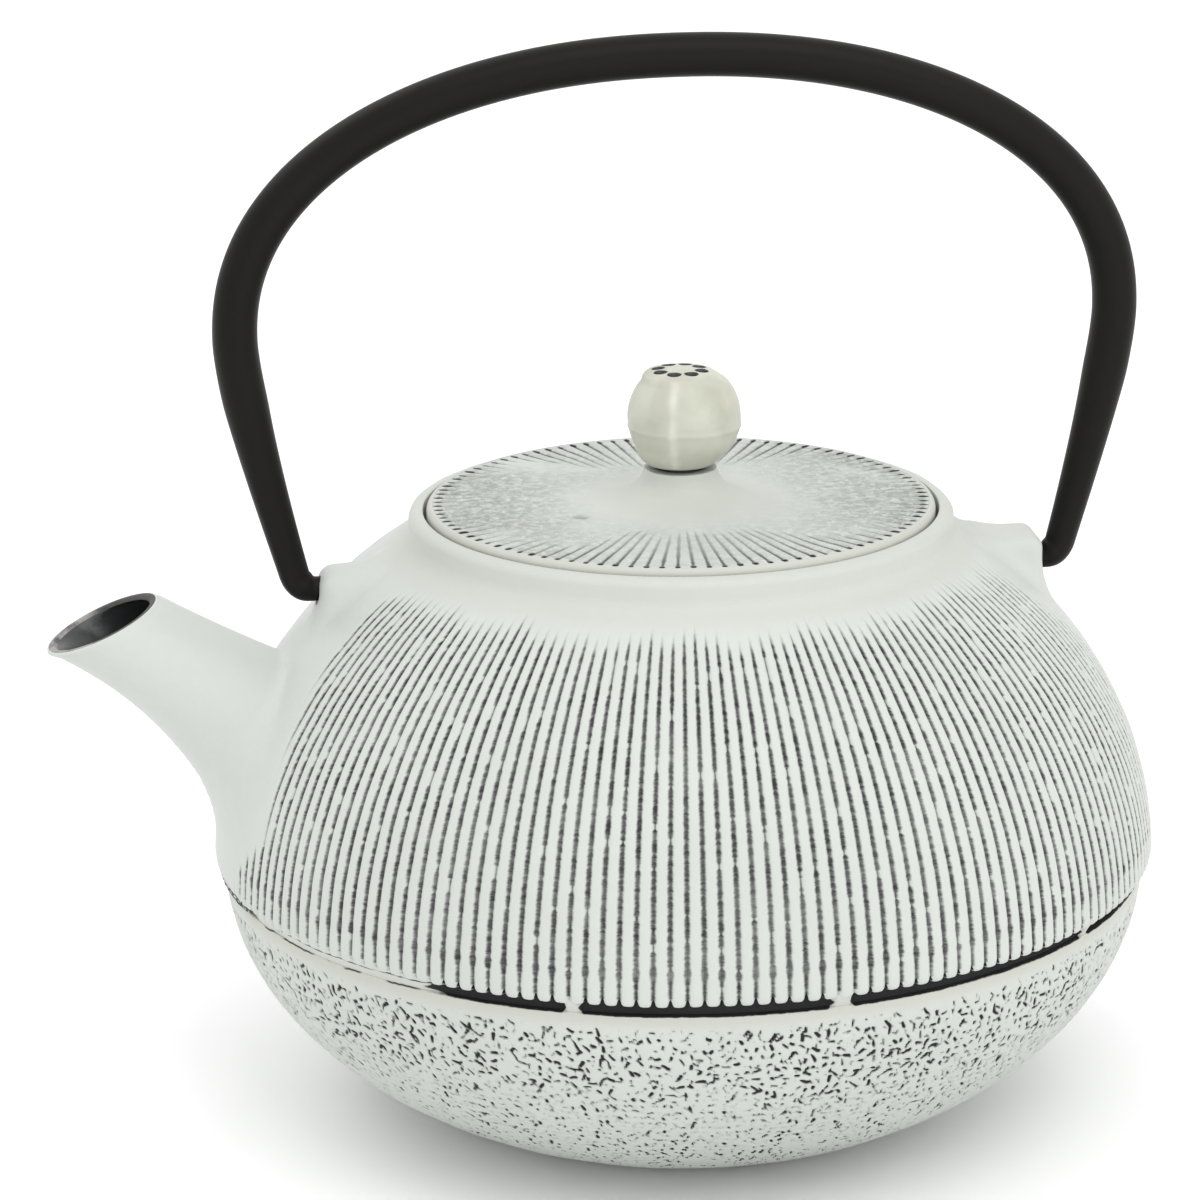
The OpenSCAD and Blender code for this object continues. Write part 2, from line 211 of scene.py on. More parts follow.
def rounded(points, radius, steps=4):
    """An open polyline of (r, z) with its inner corners rounded."""
    p = [np.asarray(q, float) for q in points]
    out = [p[0]]
    for a, b, c in zip(p, p[1:], p[2:]):
        arm = min(radius, np.linalg.norm(b - a)*0.45, np.linalg.norm(c - b)*0.45)
        start = b + (a - b)/np.linalg.norm(a - b)*arm
        end = b + (c - b)/np.linalg.norm(c - b)*arm
        out += [bezier(start, b, end, t) for t in np.linspace(0, 1, steps + 1)]
    out.append(p[-1])
    return np.array(out)


def dense(points, step):
    """The same polyline with every long span divided."""
    out = [points[0]]
    for a, b in zip(points, points[1:]):
        n = max(1, math.ceil(np.linalg.norm(b - a)/step))
        out += [mix(a, b, k/n) for k in range(1, n + 1)]
    return np.array(out)


def turned_solid(name, outline, count, materials=(), slots=None, axis_ends=True):
    """A solid of revolution. The outline runs pole to pole, or closes on itself."""
    outline = np.asarray(outline, float)
    angles = ring_angles(count)
    if not axis_ends:
        return loft(name, ring_points(outline[:, 0], outline[:, 1], angles), materials, slots, closed=True)
    rows = ring_points(outline[1:-1, 0], outline[1:-1, 1], angles)
    poles = [[0, 0, outline[0, 1]], [0, 0, outline[-1, 1]]]
    if slots is None:
        return pole_solid(name, rows, poles, materials)
    quad_slots = np.repeat(np.asarray(slots)[:len(rows) - 1], count)
    return pole_solid(name, rows, poles, materials, quad_slots, slots[-1])


def combine(obj, tools):
    """Adds or cuts the tools, in order, and leaves one plain mesh. The tools are removed."""
    for tool, operation in tools:
        mod = obj.modifiers.new("tool", "BOOLEAN")
        mod.object, mod.operation, mod.solver = tool, operation, "MANIFOLD"
    bpy.context.view_layer.update()
    made = bpy.data.meshes.new_from_object(obj.evaluated_get(bpy.context.evaluated_depsgraph_get()))
    obj.modifiers.clear()
    old, obj.data = obj.data, made
    made.name = obj.name
    bpy.data.meshes.remove(old)
    for tool, _ in tools:
        bpy.data.objects.remove(tool)
    return obj


def coords(obj):
    co = np.zeros(len(obj.data.vertices)*3, np.float32)
    obj.data.vertices.foreach_get("co", co)
    return co.reshape(-1, 3).astype(float)/MM


def point_values(obj, name, values):
    layer = obj.data.attributes.new(name, "FLOAT", "POINT")
    layer.data.foreach_set("value", np.asarray(values, np.float32))


def shade(obj, angle=50):
    obj.data.shade_smooth()
    obj.data.set_sharp_from_angle(angle=math.radians(angle))


def plug(radius, low, high):
    """The outline of a plain cylinder, as a tool that cuts a bore."""
    return [(0, low), (radius, low), (radius, high), (0, high)]


def move(obj, radius, angle):
    """Moves a mesh sideways, radius millimetres in the direction of the angle."""
    obj.data.transform(Matrix.Translation((radius*math.cos(angle)*MM, radius*math.sin(angle)*MM, 0)))


def place(obj, body, slot, *nodes):
    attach(obj, body)
    if nodes:
        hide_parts(*nodes)


# ---- node helpers
class Nodes:
    """A short way to write a material's node tree. Every method returns an output socket."""

    def __init__(self, name, **base):
        self.material = bpy.data.materials.new(name)
        self.material.use_nodes = True
        self.tree = self.material.node_tree
        self.shader = self.tree.nodes["Principled BSDF"]
        for key, value in base.items():
            self.shader.inputs[key.replace("_", " ")].default_value = value

    def node(self, kind, inputs=(), **settings):
        n = self.tree.nodes.new("ShaderNode" + kind)
        for key, value in settings.items():
            setattr(n, key, value)
        for key, value in dict(inputs).items():
            if isinstance(value, bpy.types.NodeSocket):
                self.tree.links.new(value, n.inputs[key])
            elif value is not None:
                n.inputs[key].default_value = value
        return n

    def math(self, operation, a, b=None, c=None, clamp=False):
        n = self.node("Math", {0: a, 1: b, 2: c}, operation=operation, use_clamp=clamp)
        return n.outputs[0]

    def add(self, a, b): return self.math("ADD", a, b)

    def sub(self, a, b): return self.math("SUBTRACT", a, b)

    def off(self, a, b): return self.math("ABSOLUTE", self.sub(a, b))

    def most(self, a, b): return self.math("MAXIMUM", a, b)

    def mul(self, a, b): return self.math("MULTIPLY", a, b)

    def step(self, low, high, x):
        span = {"Value": x, "From Min": low, "From Max": high}
        return self.node("MapRange", span, interpolation_type="SMOOTHSTEP").outputs[0]

    def ramp(self, x, low, high):
        return self.node("MapRange", {"Value": x, "To Min": low, "To Max": high}).outputs[0]

    def attribute(self, name):
        return self.node("Attribute", attribute_name=name).outputs["Fac"]

    def place(self):
        return self.node("TexCoord").outputs["Object"]

    def xyz(self, vector=None):
        return self.node("SeparateXYZ", {0: vector or self.place()}).outputs

    def vector(self, x, y, z):
        return self.node("CombineXYZ", {0: x, 1: y, 2: z}).outputs[0]

    def noise(self, vector, scale, detail=2.0, roughness=0.5, distortion=0.0):
        sockets = {"Vector": vector, "Scale": scale, "Detail": detail, "Roughness": roughness}
        return self.node("TexNoise", {**sockets, "Distortion": distortion}).outputs["Fac"]

    def blend(self, t, a, b, mode="MIX"):
        n = self.node("Mix", data_type="RGBA", blend_type=mode)
        for key, value in (("Factor_Float", t), ("A_Color", a), ("B_Color", b)):
            s = next(s for s in n.inputs if s.identifier == key)
            if isinstance(value, bpy.types.NodeSocket):
                self.tree.links.new(value, s)
            else:
                s.default_value = value
        return next(s for s in n.outputs if s.identifier == "Result_Color")

    def bump(self, height, strength, distance, normal=None):
        return self.node("Bump", {"Height": height, "Strength": strength, "Distance": distance,
                                  "Normal": normal}).outputs[0]

    def set(self, **sockets):
        for key, value in sockets.items():
            self.tree.links.new(value, self.shader.inputs[key.replace("_", " ")])
        return self.material


def grey(value, tint=(1, 1, 1)):
    return (value*tint[0], value*tint[1], value*tint[2], 1)


PAINT = (0.555, 0.580, 0.548, 1)
PAINT_SHADE = (0.485, 0.508, 0.480, 1)
CREAM = (0.505, 0.510, 0.458, 1)
# black of the bare iron, also used as the painted shadow in the pot's open seam
IRON_AND_SHADOW = (0.012, 0.012, 0.013, 1)


def paint_colour(n, warm):
    """Old white paint: cool and green here, cream there, with faint clouds and a few specks."""
    place = n.place()
    clouds = n.step(0.35, 0.7, n.noise(place, 26, 3))
    tone = n.blend(n.mul(clouds, 0.35), PAINT, PAINT_SHADE)
    tone = n.blend(warm, tone, CREAM)
    fine = n.noise(place, 420, 2)
    return n.blend(n.ramp(fine, 0.0, 0.16), tone, grey(0.42, (1, 1.02, 0.99)))


def cast_bump(n, strength=0.35):
    place = n.place()
    grain = n.add(n.mul(n.noise(place, 900, 3, 0.6), 0.6), n.mul(n.noise(place, 140, 2), 1.0))
    return n.bump(grain, strength, 0.0003)


def pot_paint():
    n = Nodes("pot_paint", IOR=1.45, Specular_IOR_Level=0.35)
    x, y, z = n.xyz()[:3]
    turns = n.mul(n.math("ARCTAN2", y, x), RIBS/TAU)
    rib = n.math("ROUND", turns)
    off = n.off(turns, rib)                              # 0 in the groove, 0.5 on the ridge
    mm = n.mul(z, 1000)
    streak = n.noise(n.vector(n.mul(rib, 7.31), n.mul(mm, 0.30), 0.0), 1.0, 2, 0.6)
    flow = n.noise(n.vector(n.mul(turns, 1.1), n.mul(mm, 1.3), 3.0), 1.0, 2, 0.7)
    amount = n.attribute("rib")
    pinch = n.sub(1.0, n.step(0.3, 1.5, n.off(mm, 51.5)))
    shade_flow = n.noise(n.vector(n.mul(turns, 0.16), n.mul(mm, 0.14), 7.0), 1.0, 2, 0.6)
    bridge = n.step(0.57, 0.67, streak)                  # paint that closes a groove for a short way
    low = n.step(50.5, 52.5, mm)
    half = n.add(n.ramp(flow, 0.055, 0.235), n.mul(pinch, 0.07))
    half = n.mul(half, n.ramp(low, 0.75, 1.0))
    half = n.mul(half, n.sub(1.0, n.mul(bridge, 0.8)))
    half = n.mul(half, n.math("POWER", amount, 0.6))
    groove = n.step(n.add(half, 0.10), n.sub(half, 0.075), off)
    groove = n.mul(groove, n.step(0.03, 0.9, amount))
    depth = n.mul(groove, n.ramp(n.step(0.3, 0.65, flow), 0.70, 0.95))
    depth = n.mul(depth, n.ramp(n.step(0.3, 0.6, shade_flow), 0.80, 1.0))
    # the open seam, painted black as the shadow in the undercut below the dome, whose upper edge is scalloped
    # by the round ends of the ribs
    flare = n.step(0.24, 0.02, off)
    wide = n.attribute("seam")
    rough_edge = n.sub(n.noise(n.vector(n.mul(turns, 0.9), n.mul(mm, 0.6), 11.0), 1.0, 3, 0.7), 0.5)
    upper = n.add(n.add(n.mul(n.mul(flare, wide), 1.5), n.add(wide, 44.95)), n.mul(rough_edge, 0.8))
    lower = n.add(n.sub(45.05, n.mul(wide, 1.1)), n.mul(rough_edge, 0.5))
    above = n.step(n.sub(lower, 0.1), n.add(lower, 0.1), mm)
    below = n.step(n.add(upper, 0.15), n.sub(upper, 0.15), mm)
    seam = n.mul(n.mul(above, below), n.step(0.12, 0.3, wide))
    # where the paint has run over the seam, two thin broken cracks mark its edges
    for height, start, seed in ((45.9, 0.43, 1.0), (44.2, 0.46, 2.0)):
        sway = n.noise(n.vector(n.mul(turns, 0.45), 0.0, seed), 1.0, 3, 0.6)
        level = n.add(n.mul(n.sub(sway, 0.5), 1.6), height)
        line = n.step(0.26, 0.10, n.off(mm, level))
        broken = n.noise(n.vector(n.mul(turns, 0.22), 5.0, seed), 1.0, 2, 0.6)
        line = n.mul(line, n.mul(n.step(start, start + 0.06, broken), n.step(-64.0, -67.0, turns)))
        seam = n.most(seam, n.mul(line, 0.9))
    worm = n.attribute("worm")
    spots = n.step(0.10, -0.14, worm)
    # black: iron in the ribs' grooves and in the spots, and painted shadow in the open seam
    dark = n.most(n.most(depth, spots), seam)
    warm = n.most(n.mul(n.step(98.5, 101.5, mm), 0.55), n.mul(n.step(41.0, 43.6, mm), n.step(46, 44, mm)))
    colour = n.blend(dark, paint_colour(n, warm), IRON_AND_SHADOW)
    rough = n.add(n.mul(n.noise(n.place(), 60, 2), 0.12), n.ramp(dark, 0.42, 0.62))
    return n.set(Base_Color=colour, Roughness=rough, Normal=cast_bump(n))


def enamel():
    n = Nodes("pot_enamel", IOR=1.5, Coat_Weight=0.3, Coat_Roughness=0.2)
    place = n.place()
    clouds = n.noise(place, 55, 3)
    colour = n.blend(clouds, (0.010, 0.012, 0.012, 1), (0.030, 0.036, 0.035, 1))
    rough = n.ramp(clouds, 0.22, 0.45)
    return n.set(Base_Color=colour, Roughness=rough, Normal=cast_bump(n, 0.5))


def bare_rim():
    n = Nodes("pot_bare_rim", IOR=1.45)
    place = n.place()
    worn = n.noise(place, 260, 3, 0.7)
    # worn bright only at the spout's outermost edge
    tip = n.ramp(n.step(-0.099, -0.104, n.xyz()[0]), 0.12, 1.0)
    colour = n.blend(n.mul(n.step(0.25, 0.6, worn), tip), (0.022, 0.021, 0.020, 1), (0.31, 0.29, 0.28, 1))
    return n.set(Base_Color=colour, Roughness=n.ramp(worn, 0.5, 0.75), Normal=cast_bump(n, 0.4))


def knob_paint():
    n = Nodes("knob_paint", IOR=1.45, Specular_IOR_Level=0.35)
    place = n.place()
    clouds = n.noise(place, 110, 3)
    colour = n.blend(n.step(0.35, 0.7, clouds), (0.53, 0.54, 0.455, 1), (0.43, 0.435, 0.36, 1))
    # painted highlight: the mould ridge that faces the camera is painted lighter where it catches the light
    colour = n.blend(n.mul(n.attribute("ridge"), 0.75), colour, (0.67, 0.68, 0.60, 1))
    # painted shadow: the knob's neck under the ball is painted near black, as the shade in the gap at its
    # base
    dark = n.step(0.2, 0.8, n.attribute("dark"))
    colour = n.blend(dark, colour, (0.03, 0.028, 0.024, 1))
    rough = n.ramp(clouds, 0.38, 0.55)
    return n.set(Base_Color=colour, Roughness=rough, Normal=cast_bump(n, 0.3))


def bail_paint():
    n = Nodes("bail_paint", IOR=1.45, Specular_IOR_Level=0.16)
    place = n.place()
    clouds = n.noise(place, 30, 3)
    colour = n.blend(clouds, (0.0035, 0.0033, 0.0028, 1), (0.0075, 0.0068, 0.0052, 1))
    grain = n.noise(place, 700, 3, 0.6)
    return n.set(Base_Color=colour, Roughness=n.ramp(clouds, 0.36, 0.50), Normal=n.bump(grain, 0.2, 0.0001))


def steel(name, brushed=0.5):
    n = Nodes(name, Metallic=1.0)
    x, y, z = n.xyz()[:3]
    lines = n.noise(n.vector(n.mul(n.math("ARCTAN2", y, x), 2.0), n.mul(z, 3500), 0.0), 1.0, 3, 0.7)
    clouds = n.noise(n.place(), 40, 2)
    colour = n.blend(clouds, (0.52, 0.52, 0.51, 1), (0.66, 0.66, 0.65, 1))
    rough = n.add(n.ramp(lines, 0.16, 0.34), n.mul(clouds, 0.08))
    return n.set(Base_Color=colour, Roughness=rough, Normal=n.bump(lines, brushed*0.3, 0.0001))


def floor_paper():
    n = Nodes("floor_paper", Specular_IOR_Level=0.1, Roughness=0.9)
    soft = n.noise(n.place(), 3, 2)
    return n.set(Base_Color=n.blend(soft, (0.93, 0.93, 0.93, 1), (0.95, 0.95, 0.95, 1)))


# ---- where ribs, seam and spots show
def rib_amount(theta, z):
    """1 where the shoulder has full ribs, 0 where it is smooth, as by the collar and the spout."""
    spout = np.degrees(np.abs(turned(theta - math.pi)))
    right = np.degrees(np.abs(turned(theta)))
    ragged = Wander(3, 0.05, 1)(theta)
    top = 1 - smooth(95.6, 100.8, z + ragged*0.9)
    edge = np.interp(z, [46, 51, 56, 59.5, 71, 77, 84, 90, 93, 97, 99],
                     [12.0, 13.6, 18.1, 20.2, 19.3, 18.5, 17.3, 15.5, 15.9, 17.0, 20.7]) + ragged*0.7
    near_spout = smooth(edge - 0.5, edge + 1.9, spout)
    edge = np.interp(z, [68, 76, 86, 92, 98], [-4, 4.5, 11, 15, 19]) + ragged
    near_lug = smooth(edge - 2, edge + 4, right)
    closed = smooth(-84, -54, np.degrees(theta))*(1 - smooth(60, 110, np.degrees(theta)))
    low = mix(1, smooth(46.0, 50.0, z + ragged*0.8), closed)
    return top*near_spout*near_lug*low


# angle in degrees and half width of the places where paint has run across the open seam
BRIDGES = ((-110.9, 1.3), (-79.7, 1.7), (-42, 1.0), (35, 2), (74, 3))


def seam_open(theta):
    """1 where the seam is an open step, painted black as the shadow in its undercut, 0 where paint has run
    across it.
    """
    deg = np.degrees(turned(theta))
    wander = Wander(11, 0.22, 1)(theta)
    bridges = 1 - sum(smooth(w, w*0.4, np.abs(deg - at)) for at, w in BRIDGES)
    left = smooth(-131, -125, deg + wander*1.5)*(1 - smooth(100, 118, deg + wander*3))
    thin = smooth(0.05, 0.35, wander)
    return np.clip(bridges, 0, 1)*np.maximum(left, 0.55*thin)


# ---- the pot casting
def dome_r(z):
    return BODY_R*np.sqrt(np.clip(1 - ((z - SEAM_Z)/DOME_H)**2, 0, 1))


def bowl_r(z):
    return BOWL_R*np.sqrt(np.clip(1 - ((SEAM_Z - z)/BOWL_H)**2, 0, 1))


def body_distance(p):
    """About how far points are outside the smooth body, negative inside."""
    r = np.hypot(p[..., 0], p[..., 1])
    z = p[..., 2] - SEAM_Z
    big, tall = np.where(z > 0, BODY_R, BOWL_R), np.where(z > 0, DOME_H, BOWL_H)
    f = (r/big)**2 + (z/tall)**2 - 1
    return f/(2*np.hypot(r/big**2, z/tall**2) + 1e-9)


SPOUT_OUT, SPOUT_Z, SPOUT_MOUTH, SPOUT_MOUTH_W = 17.9, 90.4, 21.2, 20.6
SPOUT_TILT = math.radians(23.5)
SPOUT_ROOT_W = 36.0
mouth_mid = np.array([-(BODY_R + SPOUT_OUT), SPOUT_Z])
mouth_dir = np.array([math.cos(SPOUT_TILT), math.sin(SPOUT_TILT)])
root_top_z = BODY_H - 25.9
root_top = np.array([-(float(dome_r(root_top_z)) - WALL - 2.6), root_top_z])
root_low = np.array([-(BOWL_R - WALL + 0.2), SEAM_Z + 0.6])
low_ctrl = np.array([-(BODY_R + 3.2), SPOUT_Z - 16.9])


def spout_edges(t, inset=0.0):
    t = np.asarray(t, float)[..., None]
    inset = np.asarray(inset, float)[..., None]*np.ones(2)
    lip = mouth_mid + mouth_dir*(SPOUT_MOUTH/2 - inset)
    down = inset*np.array([0, 1])
    top = bezier(lip, mix(lip, root_top, 0.5) - down - np.array([0, 1.0]), root_top - down*1.6, t)
    lip = mouth_mid - mouth_dir*(SPOUT_MOUTH/2 - inset)
    low = bezier(lip, low_ctrl + inset, root_low + inset*np.array([1, 2]), t)
    half = mix(SPOUT_MOUTH_W, SPOUT_ROOT_W, t[..., 0]**1.4)/2 - inset[..., 0]
    return top, low, half


def spout_rings(t, inset=0.0, sides=96):
    """Rings of the spout's skin: one a value of t, each an ellipse about the middle of the two edges."""
    top, low, half = spout_edges(t, inset)
    w = ring_angles(sides)
    mid, arm = (top + low)/2, (low - top)/2
    xz = mid[:, None] + arm[:, None]*np.cos(w)[None, :, None]
    return np.stack([xz[..., 0], half[:, None]*np.sin(w), xz[..., 1]], -1)


SPOUT_T = np.linspace(0, 1, 161)
spout_top, spout_low, spout_half = spout_edges(SPOUT_T)
spout_mid, spout_arm = (spout_top + spout_low)/2, (spout_low - spout_top)/2


def spout_distance(p):
    """About how far points are outside the spout's skin, negative inside."""
    shape = p.shape[:-1]
    q = p.reshape(-1, 3)
    out = np.full(len(q), 99.0)
    near = (q[:, 0] < -50) & (np.abs(q[:, 1]) < 45) & (q[:, 2] > 30)
    q = q[near]
    side = np.stack([-spout_arm[:, 1], spout_arm[:, 0]], -1)
    side /= np.linalg.norm(side, axis=1)[:, None]
    ahead = (q[:, None, 0] - spout_mid[None, :, 0])*side[None, :, 0]
    ahead += (q[:, None, 2] - spout_mid[None, :, 1])*side[None, :, 1]
    k = np.argmin(np.abs(ahead), axis=1)
    mid, arm, half = spout_mid[k], spout_arm[k], spout_half[k]
    size = np.hypot(arm[:, 0], arm[:, 1])
    s = ((q[:, 0] - mid[:, 0])*arm[:, 0] + (q[:, 2] - mid[:, 1])*arm[:, 1])/size**2
    v = q[:, 1]/half
    f = s*s + v*v - 1
    out[near] = f/(2*np.hypot(s/size, v/half) + 1e-9)
    return out.reshape(shape)


def lug_distance(p):
    """Distance from the two lugs: boxes with round edges, the left one filed down a little."""
    right = p[..., 0] > 0
    r = np.where(right, 2.1, 3.0)
    less = np.where(right, 0.0, 1.0)
    low = np.stack([np.where(right, 51.0, 42.0), less - LUG_W/2, 78.0 + 0*less], -1)
    high = np.stack([LUG_FACE + 0*less, LUG_W/2 - less, LUG_TOP + 0.3 - 1.3*less], -1)
    q = np.abs(np.stack([np.abs(p[..., 0]), p[..., 1], p[..., 2]], -1) - (low + high)/2)
    q = q - (high - low)/2 + r[..., None]
    return np.linalg.norm(np.maximum(q, 0), axis=-1) + np.minimum(q.max(-1), 0) - r


def joined(a, b, width):
    """The smaller of two distances, with a fillet where they are alike."""
    h = np.clip(width - np.abs(a - b), 0, None)/width
    return np.minimum(a, b) - h*h*width/4


LUG_BLEND = 4.0
# of a fillet's width: how far the body's skin rises, and where the part's skin sinks
BODY_SHARE, PART_SHARE = 0.29, 0.21


def spout_blend(p):
    """Width of the fillet round the spout's root: nearly sharp on top, wide at the sides."""
    return np.interp(p[..., 2], [48, 60, 70, 79, 84], [3.5, 5.5, 5.5, 2.4, 1.4])


def lug_blend(p):
    """Width of the fillet round a lug's root, the same everywhere."""
    return LUG_BLEND + 0*p[..., 2]


def sunk(distance):
    """How far the skin of the spout or a lug is let into the body's, which overlaps it there."""
    t = np.clip(distance, 0, 3)
    return 0.30*t + 0.10*t*t


def swell(p, normals):
    """How far the body's skin rises along its normal to meet the spout and lugs in a fillet."""
    rise = np.zeros(p.shape[:-1])
    for distance, blend in ((spout_distance, spout_blend), (lug_distance, lug_blend)):
        start = distance(p)
        near = start < blend(p)
        if not near.any():
            continue
        q, n, s = p[near], normals[near], np.zeros(near.sum())
        width = blend(q)
        top = width*BODY_SHARE*smooth(-5, 0, start[near])
        for _ in range(14):
            at = q + n*s[:, None]
            s = np.clip(s - joined(s, distance(at), width)*0.8, 0, top)
        rise[near] = np.maximum(rise[near], s)
    return rise


def march(centres, directions, field, reach):
    """How far each ray goes from its centre until the field turns positive."""
    low, high = np.zeros(centres.shape[:-1]), np.full(centres.shape[:-1], float(reach))
    for s in np.linspace(0, reach, 40)[1:]:
        inside = field(centres + directions*s) < 0
        low = np.where(inside & (s <= high), s, low)
        high = np.where(~inside & (high > s) & (s > low), np.minimum(high, s), high)
    for _ in range(14):
        s = (low + high)/2
        inside = field(centres + directions*s[..., None]) < 0
        low, high = np.where(inside, s, low), np.where(inside, high, s)
    return (low + high)/2


# strokes of two sizes: cell, least and most half length, least and most half width, share of the cells used
STROKES = ((1.62, 0.08, 0.70, 0.17, 0.36, 0.94), (1.70, 0.0, 0.30, 0.06, 0.18, 0.80))
STROKE_REACH = 2.4       # how far from its middle a stroke is looked at


def worm_field(s_rows, radius_rows, thetas):
    """Distance in millimetres from the short random strokes of the bowl, on the mesh's own grid."""
    rng = np.random.default_rng(29)
    field = np.full((len(s_rows), len(thetas)), 3.0)
    step = float(np.median(np.diff(s_rows)))
    length = s_rows[-1]
    for cell, half_low, half_high, wide_low, wide_high, keep in STROKES:
        for row in range(int(length/cell)):
            s0 = (row + 0.5)*cell
            r0 = np.interp(s0, s_rows, radius_rows)
            for k in range(int(TAU*r0/cell)):
                draw = rng.random(7)
                if draw[0] > keep:
                    continue
                s = s0 + (draw[1] - 0.5)*cell*0.6
                r = np.interp(s, s_rows, radius_rows)
                v = (k + 0.5*(row % 2) + 0.7*draw[2])*cell/r0
                turn = draw[3]*math.pi
                half = mix(half_low, half_high, draw[4]**1.3)
                wide = mix(wide_low, wide_high, draw[5])
                bend = (draw[6] - 0.5)*1.1
                # a smooth strip under the seam, and a finer pattern towards the foot
                wide -= 0.36*float(smooth(length - 3.7, length - 1.8, s)) + 0.10*float(smooth(14, 2, s))
                if wide < 0.03:
                    continue
                last = min(len(s_rows), int((s + STROKE_REACH)/step) + 2)
                rows = np.arange(max(0, int((s - STROKE_REACH)/step)), last)
                col = int(v/TAU*len(thetas))
                n = int(STROKE_REACH/(TAU*r/len(thetas))) + 1
                cols = np.arange(col - n, col + n + 1)
                ds = (s_rows[rows] - s)[:, None]
                dv = ((cols*TAU/len(thetas) - v)*r)[None, :]
                along = ds*math.cos(turn) + dv*math.sin(turn)
                across = -ds*math.sin(turn) + dv*math.cos(turn) - bend*(along/1.3)**2*0.5
                thick = wide*(1 + 0.25*np.sign(along)*np.minimum(1, np.abs(along)))
                d = np.hypot(np.maximum(np.abs(along) - half, 0), across) - thick
                part = field[np.ix_(rows, cols % len(thetas))]
                field[np.ix_(rows, cols % len(thetas))] = np.minimum(part, d)
    return field


paint, dark_enamel, rim_metal = pot_paint(), enamel(), bare_rim()
POT_MATERIALS = (paint, dark_enamel, rim_metal)

theta = ring_angles(COLS)
seam_row = seam_open(theta)


def pot_solid():
    """The outer solid, with ribs, seam and worm pattern, and no cavity yet."""
    foot = rounded([(33.4, FOOT_HOLLOW), (34.2, FOOT_HOLLOW), (35.2, 0), (FOOT_R - 0.5, 0)], 0.4, 3)
    foot = dense(foot, 2.0)
    z = np.linspace(0, SEAM_Z - SEAM_HALF, 400)
    bowl = resample(np.stack([bowl_r(z), z], -1), 0.42)
    bowl[0] = (FOOT_R - 0.12, 0.12)
    lip = np.array([(BOWL_R - 0.03, 44.0), (BOWL_R - 0.35, 44.25), (BOWL_R - 0.8, 44.3), (BOWL_R - 0.9, 44.7),
                    (BOWL_R - 0.9, 45.6), (BOWL_R - 0.8, 46.0), (81.3, 46.02), (81.95, 46.15), (82.3, 46.5),
                    (82.42, 47.0)])
    z = np.linspace(47.5, 100.7, 300)
    dome = resample(np.stack([dome_r(z), z], -1), 0.95)
    outer = COLLAR_MID + COLLAR_R
    collar = [bezier(dome[-1], np.array([outer + 0.35, 102.0]), np.array([outer + 0.04, 103.7]), t)
              for t in np.linspace(0.2, 1, 5)]
    collar += [np.array([COLLAR_MID + COLLAR_R*math.cos(a), BODY_H - COLLAR_R + COLLAR_R*math.sin(a)])
               for a in np.linspace(0.12, math.pi/2, 9)]
    inner = [(COLLAR_MID - 0.4, BODY_H), (RECESS_R, BODY_H), (RECESS_R, LEDGE_Z), (30, LEDGE_Z)]
    inner = rounded(inner, 0.55, 3)
    zones = [(foot, 0), (bowl, 1), (lip, 2), (dome, 3), (np.array(collar), 4), (inner, 5)]
    rz = np.concatenate([p for p, _ in zones])
    zone = np.concatenate([np.full(len(p), k) for p, k in zones])
    r = rz[:, :1] + 0*theta[None, :]
    z = rz[:, 1:] + 0*theta[None, :]
    rim = np.diff(rz, axis=0, append=rz[-1:])
    rim[1:-1] = rz[2:] - rz[:-2]
    nr, nz = rim[:, 1], -rim[:, 0]
    size = np.hypot(nr, nz) + 1e-9
    nr, nz = (nr/size)[:, None], (nz/size)[:, None]

    amount = rib_amount(theta[None, :], z)*(zone >= 3)[:, None]
    worm = np.full(r.shape, 3.0)
    bowl_at = zone == 1
    s_rows = np.concatenate([[0], np.cumsum(np.hypot(*np.diff(bowl, axis=0).T))])
    worm[bowl_at] = worm_field(s_rows, bowl[:, 0], theta)
    lip_at = zone == 2

    # ribs: columns 0, 8, 16 ... lie in the grooves
    column = np.arange(COLS) % RIB_COLS
    groove = np.array([1, 0.42, 0.05, 0, -0.03, 0, 0.05, 0.42])[column][None, :]
    flow = Wander(5, 3.5)(theta[None, :]*70, z)
    depth = 0.50*amount*(1 + 0.15*flow)
    cut = np.where((zone == 3)[:, None], groove*depth, 0)
    # rounded ends of the ribs over the seam, and paint that fills the seam where it is closed
    ends = np.where(lip_at[:, None] & (z > 46.01), 1.0, 0.0)
    cut += ends*groove*(0.25 + 0.5*rib_amount(theta, np.full(COLS, 49.0)))[None, :]
    fill = np.where(lip_at[:, None] & (z > 44.1) & (z < 46.3), (1 - seam_row)[None, :], 0.0)
    smooth_r = np.interp(z, [43.9, 44.4, 46.6], [80.8, 80.9, 82.45])
    # worms: shallow pits
    cut += np.where(bowl_at[:, None], 0.36*smooth(0.16, -0.22, worm), 0)
    lump = Wander(7, 9.0, 3)(np.cos(theta)[None, :]*r, np.sin(theta)[None, :]*r, z)
    cut += np.where((zone >= 1)[:, None] & (zone <= 4)[:, None], 0.06 - 0.06*lump, 0)

    p = np.stack([r*np.cos(theta), r*np.sin(theta), z], -1)
    normal = np.stack([nr*np.cos(theta), nr*np.sin(theta), nz + 0*r], -1)
    rise = np.where((zone >= 1)[:, None] & (zone <= 4)[:, None], swell(p, normal), 0)
    p += normal*(rise - cut)[..., None]
    radial = np.stack([np.cos(theta), np.sin(theta), 0*theta], -1)[None]
    p += radial*(fill*np.clip(smooth_r - r, 0, None)*0.85)[..., None]
    shown = 1 - smooth(0.0, 0.3, rise)
    obj = pole_solid("cast_pot", p, [[0, 0, FOOT_HOLLOW], [0, 0, LEDGE_Z]], POT_MATERIALS)
    tables = {"rz": rz, "zone": zone, "amount": amount*shown, "worm": worm}
    return obj, tables


